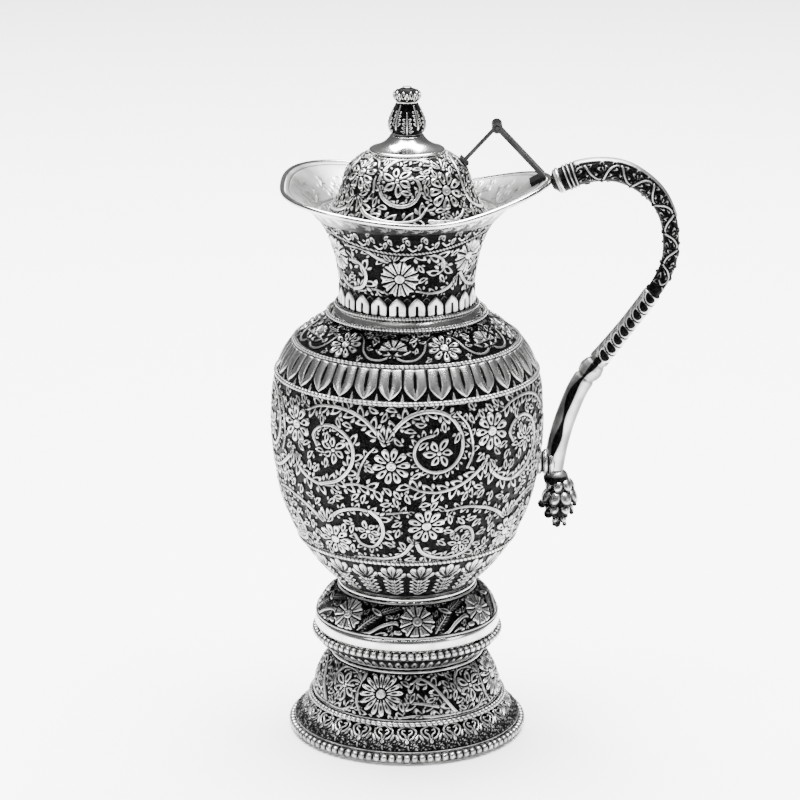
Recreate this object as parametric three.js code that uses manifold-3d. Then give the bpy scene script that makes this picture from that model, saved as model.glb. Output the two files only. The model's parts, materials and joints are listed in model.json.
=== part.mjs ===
// Silver water pitcher: a pear-shaped body on a two-stage foot, a waisted neck with a
// lobed pouring brim, a bell lid on a barrel hinge and a looped handle.
// Millimetres, +Z up. The origin is the middle of the underside of the foot; the handle
// is on +X and the pouring lip on -X.

import * as THREE from 'three';
import { mergeVertices } from 'three/addons/utils/BufferGeometryUtils.js';
import Module from 'manifold-3d';

const wasm = await Module();
wasm.setup();

// ---- Driving dimensions ----------------------------------------------------------------

const seam = 0.3;                  // gap left between pieces that are soldered together
const sheetWall = 1.2;             // raised sheet silver
const lidWall = 1.0;
const turns = 32;                  // flats round the large shells

const beadWire = 1.8;              // radius of the two beaded wires
const ropeWire = 1.3;              // radius of the twisted wires
const baseRadius = 58.2;           // centre line of the beaded wire round the base
const baseRingHeight = 4.0;
const baseRingWall = 1.7;
const baseWireLevel = 3.5;         // centre line of the beaded wire
const basePlateThickness = 1.0;
const skirtHeight = 13.2;          // from the base ring to the step
const stepRadius = 46.9;           // step between skirt and foot dome
const waistRadius = 37.4;          // top of the foot
const footHeight = 42.3;

const knopRadius = 46.0;           // the cushion between foot and body
const knopUnderHeight = 7.4;
const knopBandHeight = 10.7;
const knopDomeHeight = 15.2;
const knopTopRadius = 33.9;

const collarHeight = 2.4;          // plain band between knop and body
const collarRadius = 34.4;
const bodyFootRadius = 33.5;
const bowlDepth = 5.0;             // how far the bottom of the body hangs below its foot
const bellyRadius = 67.4;
const bellyHeight = 84.2;          // from the body's foot to its widest level
const shoulderHeight = 52.6;       // from the widest level to the neck
const neckFootRadius = 37.0;
const shoulderWire = 1.1;          // radii of the two twisted wires round the neck's root
const neckWire = 0.9;

const neckCollarHeight = 4.6;      // polished hollow collar at the root of the neck
const neckWaistRadius = 33.5;
const neckHeight = 44.6;
const mouthRadius = 44.5;          // top of the neck flare

const brimWall = 1.2;
const brimWire = 1.3;              // radius of the wire along the edge of the brim

const lidSeatClearance = 0.5;      // between the lid's edge and the inside of the flare
const lidSeatDepth = 2.2;          // how far the lid's edge sits below the mouth
const lidFlareHeight = 16.2;
const lidWaistRadius = 32.6;
const lidDomeHeight = 17.5;
const lidCrownRadius = 19.0;
const bezelClearance = 0.4;         // between the bezel and the inside of the neck
const bezelDepth = 5.3;            // below the lid's edge

const studRadius = 2.0;            // threaded stud of the finial
const studClearance = 0.35;
const finialHeight = 23.5;
const capHeight = 7.6;             // plain cap under the finial
const nutAcrossFlats = 7.6;
const nutHeight = 3.0;
const washerRadius = 6.0;
const washerThickness = 1.0;

const hingeX = 43.7;               // hinge axis, along Y
const hingeRise = 43.8;            // of the axis above the mouth
const pinRadius = 1.1;
const pinClearance = 0.35;
const knuckleRadius = 2.7;
const knuckleLength = 3.7;
const knuckleGap = 0.35;
const postThickness = 1.9;
const postFootLength = 7.0;
const armThickness = 1.4;
const padThickness = 1.2;

const handleWall = 1.2;
const handleRootRadius = 6.5;
const handleGripRadius = 4.3;
const handleFootRadius = 4.8;
const handleFootLevel = 136.0;     // level of the lower end of the handle tube
const handleStandOff = 7.9;        // handle centre line outside the body at that level
const socketLength = 3.2;
const heelClearance = 0.9;         // between the brim's edge wire and the socket's slanted end
const bossRadius = 6.6;
const terminalLength = 30.5;

// ---- Levels and radii that follow -------------------------------------------------------

const waistLevel = footHeight;
const knopLevel = waistLevel + seam;
const knopBandLevel = knopLevel + knopUnderHeight + seam;
const knopDomeLevel = knopBandLevel + knopBandHeight + seam;
const collarLevel = knopDomeLevel + knopDomeHeight + seam;
const bodyLevel = collarLevel + collarHeight + seam;
const bellyLevel = bodyLevel + bellyHeight;
const neckLevel = bellyLevel + shoulderHeight;
const neckShellLevel = neckLevel + neckCollarHeight + 2 * seam;
const mouthLevel = neckShellLevel + neckHeight;
const hingeLevel = mouthLevel + hingeRise;
const lidLevel = mouthLevel - lidSeatDepth;

// ---- Materials --------------------------------------------------------------------------

const silver = (color, roughness) =>
  new THREE.MeshStandardMaterial({ color, roughness, metalness: 1 });
const chased = silver(0x8f8f8b, 0.38);      // chased silver with blackened ground
const polished = silver(0xd4d4cf, 0.16);
const matte = silver(0xb9b9b4, 0.48);

// ---- Helpers ----------------------------------------------------------------------------

// A closed, outward-facing mesh with shared corners and no collapsed triangles.
function closed(source) {
  const bare = source.clone();
  bare.deleteAttribute('normal');
  bare.deleteAttribute('uv');
  const merged = mergeVertices(bare, 1e-4);
  const at = merged.attributes.position;
  const faces = [];
  let volume = 0;
  const [a, b, c] = [new THREE.Vector3(), new THREE.Vector3(), new THREE.Vector3()];
  for (let i = 0; i < merged.index.count; i += 3) {
    const [p, q, r] = [0, 1, 2].map((k) => merged.index.getX(i + k));
    if (p === q || q === r || r === p) continue;
    faces.push(p, q, r);
    a.fromBufferAttribute(at, p);
    b.fromBufferAttribute(at, q);
    c.fromBufferAttribute(at, r);
    volume += a.dot(b.cross(c));
  }
  if (volume < 0) faces.reverse();
  const result = new THREE.BufferGeometry();
  result.setAttribute('position', at);
  result.setIndex(faces);
  return result;
}

function toSolid(geometry) {
  const mesh = closed(geometry);
  return new wasm.Manifold(new wasm.Mesh({
    numProp: 3,
    vertProperties: new Float32Array(mesh.attributes.position.array),
    triVerts: new Uint32Array(mesh.index.array),
  }));
}

function toGeometry(solid) {
  const mesh = solid.getMesh();
  const result = new THREE.BufferGeometry();
  result.setAttribute('position', new THREE.BufferAttribute(mesh.vertProperties, 3));
  result.setIndex([...mesh.triVerts]);
  return closed(result);
}

// Turns [radius, level] points about Z.
function turned(points, flats = turns) {
  const profile = points.map(([r, z]) => new THREE.Vector2(r, z));
  return new THREE.LatheGeometry(profile, flats).rotateX(Math.PI / 2);
}

function curve(start, pull, push, end, steps) {
  const bend = new THREE.CubicBezierCurve(...[start, pull, push, end]
    .map(([r, z]) => new THREE.Vector2(r, z)));
  return bend.getPoints(steps).map((p) => [p.x, p.y]);
}

// Moves an outline, given upwards with the outside on its right, sideways by a distance.
function offset(outline, distance) {
  const count = outline.length;
  return outline.map(([r, z], i) => {
    const [r0, z0] = outline[Math.max(i - 1, 0)];
    const [r1, z1] = outline[Math.min(i + 1, count - 1)];
    const span = Math.hypot(r1 - r0, z1 - z0);
    return [r + distance * (z1 - z0) / span, z - distance * (r1 - r0) / span];
  });
}

// The closed profile of a sheet whose outer face is the outline. A steep end is cut level,
// so that it meets the next piece flat.
function sheet(outline, wall = sheetWall) {
  const inner = offset(outline, -wall);
  const last = outline.length - 1;
  for (const [end, next] of [[0, 1], [last, last - 1]]) {
    const run = outline[next][0] - outline[end][0];
    const climb = outline[next][1] - outline[end][1];
    if (Math.abs(climb) > Math.abs(run)) {
      const across = wall * Math.hypot(run, climb) / Math.abs(climb);
      inner[end] = [outline[end][0] - across, outline[end][1]];
    }
  }
  return [...outline, ...inner.reverse(), outline[0]];
}

// A round wire bent to a ring.
function wireRing(radius, level, wire, flats = turns) {
  return new THREE.TorusGeometry(radius, wire, 6, flats).translate(0, 0, level);
}

function mesh(name, geometry, material, level = 0) {
  const piece = new THREE.Mesh(closed(geometry), material);
  piece.name = name;
  piece.position.z = level;
  return piece;
}

// ---- Foot -------------------------------------------------------------------------------

function makeFoot() {
  const foot = new THREE.Group();
  const ringOuter = baseRadius - beadWire - seam;
  const ringInner = ringOuter - baseRingWall;
  const plateRadius = ringInner - seam;
  const plate = new THREE.CylinderGeometry(plateRadius, plateRadius, basePlateThickness, turns)
    .rotateX(Math.PI / 2).translate(0, 0, basePlateThickness / 2);
  foot.add(mesh('base_plate', plate, matte));
  foot.add(mesh('base_ring', turned([
    [ringInner, 0], [ringOuter, 0], [ringOuter, baseRingHeight],
    [ringInner, baseRingHeight], [ringInner, 0],
  ]), polished));
  foot.add(mesh('base_bead_ring', wireRing(baseRadius, baseWireLevel, beadWire), polished));

  const skirtFoot = baseRingHeight + seam;
  const skirtTop = skirtFoot + skirtHeight;
  const skirt = [
    [baseRadius - 2.6, skirtFoot],
    [baseRadius - 1.2, skirtFoot + 2.6],
    ...curve([baseRadius - 2.1, skirtFoot + 3.9], [baseRadius - 5.5, skirtFoot + 6.4],
      [stepRadius + 4.2, skirtFoot + 9.2], [stepRadius + 0.4, skirtTop - 1.2], 3),
    [stepRadius, skirtTop],
  ];
  foot.add(mesh('foot_skirt', turned(sheet(skirt)), chased));

  const ropeRadius = stepRadius + ropeWire + 1.5 * seam;
  foot.add(mesh('foot_rope_ring', wireRing(ropeRadius, skirtTop + 0.2, ropeWire), polished));

  const domeFoot = skirtTop + seam;
  const dome = [
    [stepRadius, domeFoot],
    [stepRadius, domeFoot + 0.9],
    ...curve([stepRadius + 0.7, domeFoot + 2.1], [stepRadius - 0.8, domeFoot + 11.5],
      [stepRadius - 3.0, footHeight - 8.2], [waistRadius, footHeight], 4),
  ];
  foot.add(mesh('foot_dome', turned(sheet(dome)), chased));
  return foot;
}

// ---- Knop: the cushion between foot and body --------------------------------------------

function makeKnop() {
  const knop = new THREE.Group();
  const under = curve([waistRadius, 0], [waistRadius + 2.2, 2.0],
    [knopRadius - 1.6, knopUnderHeight - 2.8], [knopRadius - 0.1, knopUnderHeight], 4);
  knop.add(mesh('knop_underside', turned(sheet(under)), chased, knopLevel));

  const groove = knopRadius - 1.8;            // the beaded wire lies in this groove
  const grooveHeight = 2 * beadWire + 0.4;
  const band = [
    [groove, 0], [groove, grooveHeight], [knopRadius, grooveHeight + 0.9],
    [knopRadius + 0.2, knopBandHeight - 3], [knopRadius, knopBandHeight],
  ];
  knop.add(mesh('knop_band', turned(sheet(band)), polished, knopBandLevel));
  const beadLevel = knopBandLevel + beadWire + seam;
  knop.add(mesh('knop_bead_ring', wireRing(groove + beadWire + seam, beadLevel, beadWire), polished));

  const dome = curve([knopRadius, 0], [knopRadius - 1.8, 5.6],
    [knopTopRadius + 5.6, knopDomeHeight - 3.6], [knopTopRadius, knopDomeHeight], 4);
  knop.add(mesh('knop_dome', turned(sheet(dome)), chased, knopDomeLevel));
  return knop;
}

// ---- Body -------------------------------------------------------------------------------

// Outer outline of the body above its foot, from the foot to the neck.
function bodyOutline() {
  const low = curve([bodyFootRadius, 0], [bellyRadius - 6, 0.27 * bellyHeight],
    [bellyRadius, 0.67 * bellyHeight], [bellyRadius, bellyHeight], 8);
  const high = curve([bellyRadius, bellyHeight], [bellyRadius, bellyHeight + 0.39 * shoulderHeight],
    [bellyRadius - 1.5, bellyHeight + 0.76 * shoulderHeight],
    [neckFootRadius, bellyHeight + shoulderHeight], 7);
  return [...low, ...high.slice(1)];
}

// Radius of the body's outer face at a level above the base.
function bodyRadiusAt(level) {
  const outline = bodyOutline();
  const z = level - bodyLevel;
  const top = outline.findIndex((point) => point[1] >= z);
  const [r0, z0] = outline[top - 1];
  const [r1, z1] = outline[top];
  return r0 + (r1 - r0) * (z - z0) / (z1 - z0);
}

function makeBody() {
  const body = new THREE.Group();
  body.add(mesh('body_collar', turned([
    [collarRadius - 2.8, 0], [collarRadius - 0.2, 0], [collarRadius, collarHeight / 2],
    [collarRadius - 0.2, collarHeight - 0.1], [collarRadius - 2.8, collarHeight - 1.6],
    [collarRadius - 2.8, 0],
  ]), polished, collarLevel));
  const outer = [
    ...curve([0, -bowlDepth], [0.4 * bodyFootRadius, -bowlDepth],
      [0.8 * bodyFootRadius, -0.5 * bowlDepth], [bodyFootRadius, 0], 3),
    ...bodyOutline().slice(1),
  ];
  const inner = offset(outer, -sheetWall);
  inner[0][0] = 0;
  const shell = turned([...outer, ...inner.reverse()]);
  body.add(mesh('body_shell', shell, chased, bodyLevel));
  return body;
}

// ---- Neck and brim ----------------------------------------------------------------------

function neckOutline() {
  return curve([neckWaistRadius - 0.1, 0], [neckWaistRadius - 1.7, 0.48 * neckHeight],
    [mouthRadius - 5.7, 0.86 * neckHeight], [mouthRadius, neckHeight], 7);
}

// Radius of the inside of the neck at a depth below the mouth.
function mouthInnerRadius(depth) {
  const inner = offset(neckOutline(), -sheetWall);
  const z = neckHeight - depth;
  const top = inner.findIndex((point) => point[1] >= z);
  const [r0, z0] = inner[top - 1];
  const [r1, z1] = inner[top];
  return r0 + (r1 - r0) * (z - z0) / (z1 - z0);
}

function makeNeck() {
  const neck = new THREE.Group();
  const hollow = curve([neckFootRadius - 0.4, 0], [neckFootRadius - 0.8, 0.5 * neckCollarHeight],
    [neckWaistRadius + 1, 0.8 * neckCollarHeight], [neckWaistRadius, neckCollarHeight], 4);
  neck.add(mesh('neck_collar', turned(sheet(hollow)), polished, neckLevel + seam));
  neck.add(mesh('shoulder_rope_ring', wireRing(neckFootRadius + shoulderWire + 2 * seam, neckLevel + shoulderWire, shoulderWire), polished));
  neck.add(mesh('neck_shell', turned(sheet(neckOutline())), chased, neckShellLevel));
  neck.add(mesh('neck_rope_ring',
    wireRing(neckWaistRadius + neckWire + seam, neckShellLevel + 0.4, neckWire), polished));
  return neck;
}

// The edge of the brim at an angle about Z, seen from above: a pouring lip, a heel for
// the handle and two side lobes. [radius, rise above the mouth].
function brimEdge(angle) {
  const wave = [1, 2, 3].map((n) => Math.cos(n * angle));
  const radius = mouthRadius + 18.7 - 2.9 * wave[0] + 3.3 * wave[1] + 7.3 * wave[2];
  const rise = 10.9 - 1.4 * wave[0] + 4.5 * wave[1] + 2.7 * wave[2];
  return [radius, rise];
}

const brimInside = mouthRadius + 0.5;

// Radius at which the brim's sheet ends, inside its edge wire.
function brimSheetEdge(angle) {
  return brimEdge(angle)[0] - 2 * brimWire - seam;
}

// Level of the middle of the brim's sheet above the mouth.
function brimRise(angle, radius) {
  const share = (radius - brimInside) / (brimSheetEdge(angle) - brimInside);
  const rise = brimEdge(angle)[1] * (1 - Math.max(1 - share, 0) ** 1.3);
  return seam + brimWall / 2 + rise;
}

function makeBrim() {
  const brim = new THREE.Group();
  const flats = 48;
  const steps = 4;
  const strip = [];
  for (let i = 0; i <= steps; i += 1) strip.push([1 + i / steps, -0.5]);
  for (let i = steps; i >= 0; i -= 1) strip.push([1 + i / steps, 0.5]);
  strip.push(strip[0]);
  const plate = turned(strip, flats);
  const at = plate.attributes.position;
  for (let i = 0; i < at.count; i += 1) {
    const angle = Math.atan2(at.getY(i), at.getX(i));
    const share = Math.hypot(at.getX(i), at.getY(i)) - 1;
    const radius = brimInside + share * (brimSheetEdge(angle) - brimInside);
    const slope = 1.2 * (1 - share) + 0.35;
    const lift = at.getZ(i) * brimWall * Math.hypot(1, slope);
    const level = brimRise(angle, radius) + lift;
    at.setXYZ(i, radius * Math.cos(angle), radius * Math.sin(angle), level);
  }
  brim.add(mesh('brim', plate, matte));

  const wire = new THREE.TorusGeometry(1, 0.5, 6, flats);
  const ring = wire.attributes.position;
  for (let i = 0; i < ring.count; i += 1) {
    const angle = Math.atan2(ring.getY(i), ring.getX(i));
    const out = 2 * brimWire * (Math.hypot(ring.getX(i), ring.getY(i)) - 1);
    const [edge, rise] = brimEdge(angle);
    const radius = edge - brimWire + out;
    const level = seam + brimWall / 2 + rise + 2 * brimWire * ring.getZ(i);
    ring.setXYZ(i, radius * Math.cos(angle), radius * Math.sin(angle), level);
  }
  brim.add(mesh('brim_edge_wire', wire, polished));
  brim.position.z = mouthLevel;
  return brim;
}

// ---- Lid --------------------------------------------------------------------------------

const lidRimRadius = mouthInnerRadius(lidSeatDepth) - lidSeatClearance;

function lidOutline() {
  const top = lidFlareHeight + lidDomeHeight;
  return [
    ...curve([lidRimRadius, 0], [lidRimRadius - 0.8, 3.8],
      [lidWaistRadius + 1.2, lidFlareHeight - 6.2], [lidWaistRadius, lidFlareHeight], 4),
    ...curve([lidWaistRadius, lidFlareHeight], [lidWaistRadius - 3.0, top - 10.2],
      [lidWaistRadius - 0.5, top - 7.0], [lidCrownRadius, top], 5).slice(1),
  ];
}

// Radius of the lid's outer face at a height above its edge.
function lidRadiusAt(height) {
  const outline = lidOutline();
  const top = outline.findIndex((point) => point[1] >= height);
  const [r0, z0] = outline[top - 1];
  const [r1, z1] = outline[top];
  return r0 + (r1 - r0) * (height - z0) / (z1 - z0);
}

function makeLid() {
  const lid = new THREE.Group();
  const crown = lidFlareHeight + lidDomeHeight;
  const hole = studRadius + studClearance;
  const outer = [...lidOutline(), [hole, crown + 0.2]];
  const inner = offset(outer, -lidWall);
  inner[inner.length - 1] = [hole, crown + 0.2 - lidWall];
  const shell = turned([...outer, ...inner.reverse(), outer[0]]);
  lid.add(mesh('lid_shell', shell, chased));

  const cap = crown + 0.2 + seam;
  const capOuter = [
    [lidCrownRadius - 0.7, 0], [lidCrownRadius - 1.2, 1.0], [lidCrownRadius - 3.0, 1.8],
    [lidCrownRadius - 7.5, 4.2], [lidCrownRadius - 10.2, 6.5], [lidCrownRadius - 10.8, capHeight],
    [hole, capHeight],
  ];
  const capInner = offset(capOuter, -lidWall);
  capInner[0] = [lidCrownRadius - 0.7 - lidWall, 0];
  capInner[capInner.length - 1] = [hole, capHeight - lidWall];
  const capRing = turned([...capOuter, ...capInner.reverse(), capOuter[0]], 24);
  lid.add(mesh('lid_cap', capRing, polished, cap));

  // The bezel drops into the neck and locates the lid; its flange is soldered inside.
  const bezelRadius = mouthInnerRadius(lidSeatDepth + bezelDepth) - bezelClearance;
  const flange = lidRimRadius - 3.0;
  lid.add(mesh('lid_bezel', turned([
    [bezelRadius - 1.2, -bezelDepth], [bezelRadius, -bezelDepth], [bezelRadius, 0.6],
    [flange, 0.8], [flange - 0.4, 1.6], [bezelRadius - 1.2, 1.6],
    [bezelRadius - 1.2, -bezelDepth],
  ]), polished));

  const finialFoot = cap + capHeight + seam;
  const studDepth = finialFoot - (crown - 0.8) + washerThickness + nutHeight + 1.8;
  const bud = [
    [0, -studDepth], [studRadius, -studDepth], [studRadius, 0], [5.5, 0], [7.2, 1.0],
    [8.6, 3.4], [8.9, 5.8], [8.2, 9.0], [6.8, 12.5], [5.2, 15.7], [5.7, 17.0], [6.6, 18.5],
    [6.2, 20.5], [4.0, finialHeight - 0.7], [0, finialHeight],
  ];
  lid.add(mesh('finial', turned(bud, 16), chased, finialFoot));

  const washerTop = crown + 0.2 - lidWall - seam;
  const washerFoot = washerTop - washerThickness;
  lid.add(mesh('finial_washer', turned([
    [hole, washerFoot], [washerRadius, washerFoot], [washerRadius, washerTop],
    [hole, washerTop], [hole, washerFoot],
  ], 24), polished));
  const nutFoot = washerFoot - seam - nutHeight;
  const nut = toSolid(new THREE.CylinderGeometry(nutAcrossFlats / Math.sqrt(3),
    nutAcrossFlats / Math.sqrt(3), nutHeight, 6).rotateX(Math.PI / 2)
    .translate(0, 0, nutFoot + nutHeight / 2));
  const thread = toSolid(new THREE.CylinderGeometry(hole, hole, 3 * nutHeight, 20)
    .rotateX(Math.PI / 2).translate(0, 0, nutFoot));
  lid.add(mesh('finial_nut', toGeometry(nut.subtract(thread)), polished));
  lid.position.z = lidLevel;
  return lid;
}

// ---- Hinge ------------------------------------------------------------------------------

const barrelLength = 3 * knuckleLength + 2 * knuckleGap;

// A round bar along Y through the hinge axis.
function barAlongY(radius, length, middle = 0, flats = 16) {
  return new THREE.CylinderGeometry(radius, radius, length, flats)
    .translate(0, middle, 0).translate(hingeX, 0, hingeLevel);
}

// A strap between two points in the XZ plane, standing along Y.
function strap(from, to, thickness, width) {
  const along = new THREE.Vector3(to[0] - from[0], 0, to[1] - from[1]);
  const box = new THREE.BoxGeometry(along.length(), width, thickness);
  const tilt = -Math.atan2(along.z, along.x);
  return box.rotateY(tilt).translate((from[0] + to[0]) / 2, 0, (from[1] + to[1]) / 2);
}

function makeHinge() {
  const hinge = new THREE.Group();
  const bore = toSolid(barAlongY(pinRadius + pinClearance, 3 * barrelLength));
  const knuckle = (middle) => toSolid(barAlongY(knuckleRadius, knuckleLength, middle));
  const pitch = knuckleLength + knuckleGap;

  // The post: two knuckles, a straight strap and a foot on the heel of the brim.
  const footOut = brimSheetEdge(0) - 0.8;
  const footIn = footOut - postFootLength;
  const lift = 0.7 * brimWall + seam + 0.6 * postThickness;
  const onBrim = (x) => [x, mouthLevel + brimRise(0, x) + lift];
  const axis = [hingeX, hingeLevel];
  const foot = toSolid(strap(onBrim(footIn), onBrim(footOut), postThickness, barrelLength));
  const web = toSolid(strap(axis, onBrim(footOut - 0.6), postThickness, barrelLength));
  const room = toSolid(barAlongY(knuckleRadius + pinClearance, knuckleLength + 2 * knuckleGap));
  const post = web.subtract(room).add(knuckle(-pitch)).add(knuckle(pitch)).add(foot);
  hinge.add(mesh('hinge_post', toGeometry(post.subtract(bore)), polished));

  const pin = barAlongY(pinRadius, barrelLength + 1.6, 0, 16);
  hinge.add(mesh('hinge_pin', pin, polished));

  // The arm: the middle knuckle and a strap down to the shoulder of the lid.
  const seatHeight = lidFlareHeight + lidDomeHeight - 5.6;
  const seat = [lidRadiusAt(seatHeight), lidLevel + seatHeight];
  const run = Math.hypot(hingeX - seat[0], hingeLevel - seat[1]);
  const toward = [(hingeX - seat[0]) / run, (hingeLevel - seat[1]) / run];
  const along = (distance) => [seat[0] + toward[0] * distance, seat[1] + toward[1] * distance];
  const padFoot = 2.4 * seam;
  const padTop = padFoot + padThickness;
  const arm = toSolid(strap(along(padTop + seam), axis, armThickness, knuckleLength));
  hinge.add(mesh('lid_arm', toGeometry(arm.add(knuckle(0)).subtract(bore)), polished));
  const pad = toSolid(strap(along(padFoot), along(padTop), 5, 7));
  const dome = offset(lidOutline(), seam).map(([r, z]) => [Math.max(r, 0), z + lidLevel]);
  const under = toSolid(turned([[0, dome[0][1]], ...dome, [0, dome[dome.length - 1][1]]]));
  hinge.add(mesh('lid_arm_pad', toGeometry(pad.subtract(under)), polished));
  return hinge;
}

// ---- Handle -----------------------------------------------------------------------------

const [heelEdge, heelEdgeRise] = brimEdge(0);
const handleTop = [heelEdge + heelClearance + socketLength + seam, mouthLevel + heelEdgeRise + 0.4];
const handleFoot = [bodyRadiusAt(handleFootLevel) + handleStandOff, handleFootLevel];

// The centre line of the handle in the XZ plane, from the brim to its foot. Each point is
// [share of the height from foot to brim, distance outside the line from foot to brim].
const handleRoute = [
  [1.000, 0], [1.024, 9], [1.034, 19], [1.027, 29], [0.996, 38.5], [0.945, 47],
  [0.875, 52.5], [0.800, 54.5], [0.725, 54.0], [0.660, 50.5], [0.590, 44], [0.455, 29.5],
  [0.310, 13.5], [0.200, 6.5], [0.100, 2.4], [0.000, 0],
];
const handleLine = new THREE.CatmullRomCurve3(handleRoute.map(([share, out]) => new THREE.Vector3(
  THREE.MathUtils.lerp(handleFoot[0], handleTop[0], share) + out, 0,
  THREE.MathUtils.lerp(handleFoot[1], handleTop[1], share),
)), false, 'centripetal');

// Radius of the handle tube part of the way along it from the brim.
function handleRadius(share) {
  const widths = [
    [0, handleRootRadius], [0.16, handleRootRadius - 0.6], [0.30, handleGripRadius + 0.4],
    [0.42, handleGripRadius], [0.60, handleGripRadius - 0.3], [0.75, handleFootRadius + 0.2],
    [0.86, handleFootRadius + 0.1], [1, handleFootRadius],
  ];
  const next = Math.max(widths.findIndex(([s]) => s >= share), 1);
  const [s0, r0] = widths[next - 1];
  const [s1, r1] = widths[next];
  return THREE.MathUtils.mapLinear(share, s0, s1, r0, r1);
}

// A round bar bent along the handle's centre line; the ends run past it by an overrun.
function bentBar(grow, overrun, flats, steps) {
  const bar = new THREE.CylinderGeometry(1, 1, 1, flats, steps).translate(0, 0.5, 0);
  const at = bar.attributes.position;
  for (let i = 0; i < at.count; i += 1) {
    const share = THREE.MathUtils.clamp(at.getY(i), 0, 1);
    const centre = handleLine.getPointAt(share);
    const tangent = handleLine.getTangentAt(share);
    const end = (2 * share - 1) * (share < 0.001 || share > 0.999 ? overrun : 0);
    const radius = handleRadius(share) + grow;
    const side = at.getX(i) * radius;
    at.setXYZ(i, centre.x + tangent.x * end + tangent.z * side, at.getZ(i) * radius,
      centre.z + tangent.z * end - tangent.x * side);
  }
  return bar;
}

function makeHandle() {
  const handle = new THREE.Group();
  const flats = 10;
  const steps = 36;
  const tube = toSolid(bentBar(0, 0, flats, steps));
  const hollow = toSolid(bentBar(-handleWall, 3, 8, steps));
  handle.add(mesh('handle_tube', toGeometry(tube.subtract(hollow)), chased));

  // The socket joins the heel of the brim to the open upper end of the tube.
  const start = handleLine.getTangentAt(0);
  const socket = new THREE.CylinderGeometry(handleRootRadius, handleRootRadius - 1.2,
    socketLength, 20).translate(0, -socketLength / 2 - seam, 0);
  const socketMesh = mesh('handle_root_socket', socket, chased);
  socketMesh.quaternion.setFromUnitVectors(new THREE.Vector3(0, 1, 0), start);
  socketMesh.position.set(handleTop[0], 0, handleTop[1]);
  handle.add(socketMesh);

  // The boss fills the gap between body and handle just above the handle's foot.
  const bossLevel = handleFootLevel + 0.5 * bossRadius;
  const bodySide = bodyRadiusAt(bossLevel);
  const drum = toSolid(new THREE.CylinderGeometry(bossRadius, bossRadius, 2 * handleStandOff, 24)
    .rotateZ(Math.PI / 2).translate(bodySide + 2, 0, bossLevel));
  const grownBody = offset(bodyOutline(), seam);
  const bodyBlock = toSolid(turned([
    [0, grownBody[0][1]], ...grownBody, [0, grownBody[grownBody.length - 1][1]],
  ]).translate(0, 0, bodyLevel));
  const handleBlock = toSolid(bentBar(seam, 6, flats, steps));
  const saddle = new THREE.BoxGeometry(handleStandOff, 4 * bossRadius, 4 * bossRadius)
    .translate(bodySide + handleStandOff / 2 - 1, 0, bossLevel);
  const boss = drum.intersect(toSolid(saddle)).subtract(bodyBlock).subtract(handleBlock);
  const parts = boss.decompose().sort((a, b) => b.volume() - a.volume());
  handle.add(mesh('handle_lower_boss', toGeometry(parts[0]), chased));

  // The terminal: a cast flower with a pointed tail and two berries under the tube.
  const [endX, endZ] = handleFoot;
  const ball = (x, y, z, wide, deep, high) => toSolid(new THREE.SphereGeometry(1, 12, 7)
    .scale(wide, deep, high).translate(endX + x, y, endZ + z));
  const stem = toSolid(new THREE.CylinderGeometry(handleFootRadius, handleFootRadius, 6, 12)
    .rotateX(Math.PI / 2).translate(endX, 0, endZ - seam - 0.6 - 3));
  const tail = toSolid(new THREE.CylinderGeometry(6, 1.6, 0.55 * terminalLength, 14)
    .rotateX(Math.PI / 2).translate(endX + 1.6, 0, endZ - 0.76 * terminalLength));
  const flower = ball(4.6, 0, -14, 9.4, 9.5, 10.5);
  const berries = ball(-5.2, 0, -18.7, 2.2, 2.2, 2.2).add(ball(-2.0, 0, -24, 2.3, 2.3, 2.3));
  const stalk = ball(-2.2, 0, -17.8, 3.2, 2.2, 2.4);
  handle.add(mesh('handle_terminal',
    toGeometry(stem.add(flower).add(tail).add(stalk).add(berries)), chased));
  return handle;
}

// ---- The pitcher ------------------------------------------------------------------------

const pitcher = new THREE.Group();
pitcher.name = 'pitcher';
pitcher.add(makeFoot(), makeKnop(), makeBody(), makeNeck(), makeBrim(), makeLid(),
  makeHinge(), makeHandle());

export default pitcher;
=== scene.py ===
# %% [markdown]
# # A chased silver water pitcher
# The pitcher is sheet silver: a pear-shaped body, a two-stage foot, a flaring neck with a
# lobed brim, a bell lid on a hinge and a hollow handle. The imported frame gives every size.
# The plain sheets of the frame are replaced here by sheets with their chasing raised on
# them, and the plain wires by beaded and twisted ones.

# %% Load the frame
import json
import math

import bmesh
import bpy
import numpy as np
from mathutils import Matrix, Vector

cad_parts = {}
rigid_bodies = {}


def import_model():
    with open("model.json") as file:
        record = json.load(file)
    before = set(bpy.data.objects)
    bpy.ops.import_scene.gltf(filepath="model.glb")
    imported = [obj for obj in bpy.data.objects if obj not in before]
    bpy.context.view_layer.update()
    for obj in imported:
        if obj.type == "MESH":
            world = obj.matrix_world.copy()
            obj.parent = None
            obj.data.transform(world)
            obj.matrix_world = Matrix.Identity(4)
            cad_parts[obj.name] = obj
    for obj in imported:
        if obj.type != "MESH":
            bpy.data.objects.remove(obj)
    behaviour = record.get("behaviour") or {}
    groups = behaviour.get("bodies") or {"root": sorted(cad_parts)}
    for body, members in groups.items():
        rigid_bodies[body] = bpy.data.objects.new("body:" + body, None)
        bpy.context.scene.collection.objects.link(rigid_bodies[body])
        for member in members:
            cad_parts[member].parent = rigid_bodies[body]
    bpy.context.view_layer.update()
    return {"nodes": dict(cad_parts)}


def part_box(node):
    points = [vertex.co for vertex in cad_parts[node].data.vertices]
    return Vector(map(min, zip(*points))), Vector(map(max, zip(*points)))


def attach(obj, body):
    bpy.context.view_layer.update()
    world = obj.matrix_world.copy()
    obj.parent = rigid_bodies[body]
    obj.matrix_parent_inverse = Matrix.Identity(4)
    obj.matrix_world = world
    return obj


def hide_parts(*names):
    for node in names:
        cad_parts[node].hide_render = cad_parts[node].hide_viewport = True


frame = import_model()
MM = 0.001


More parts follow.
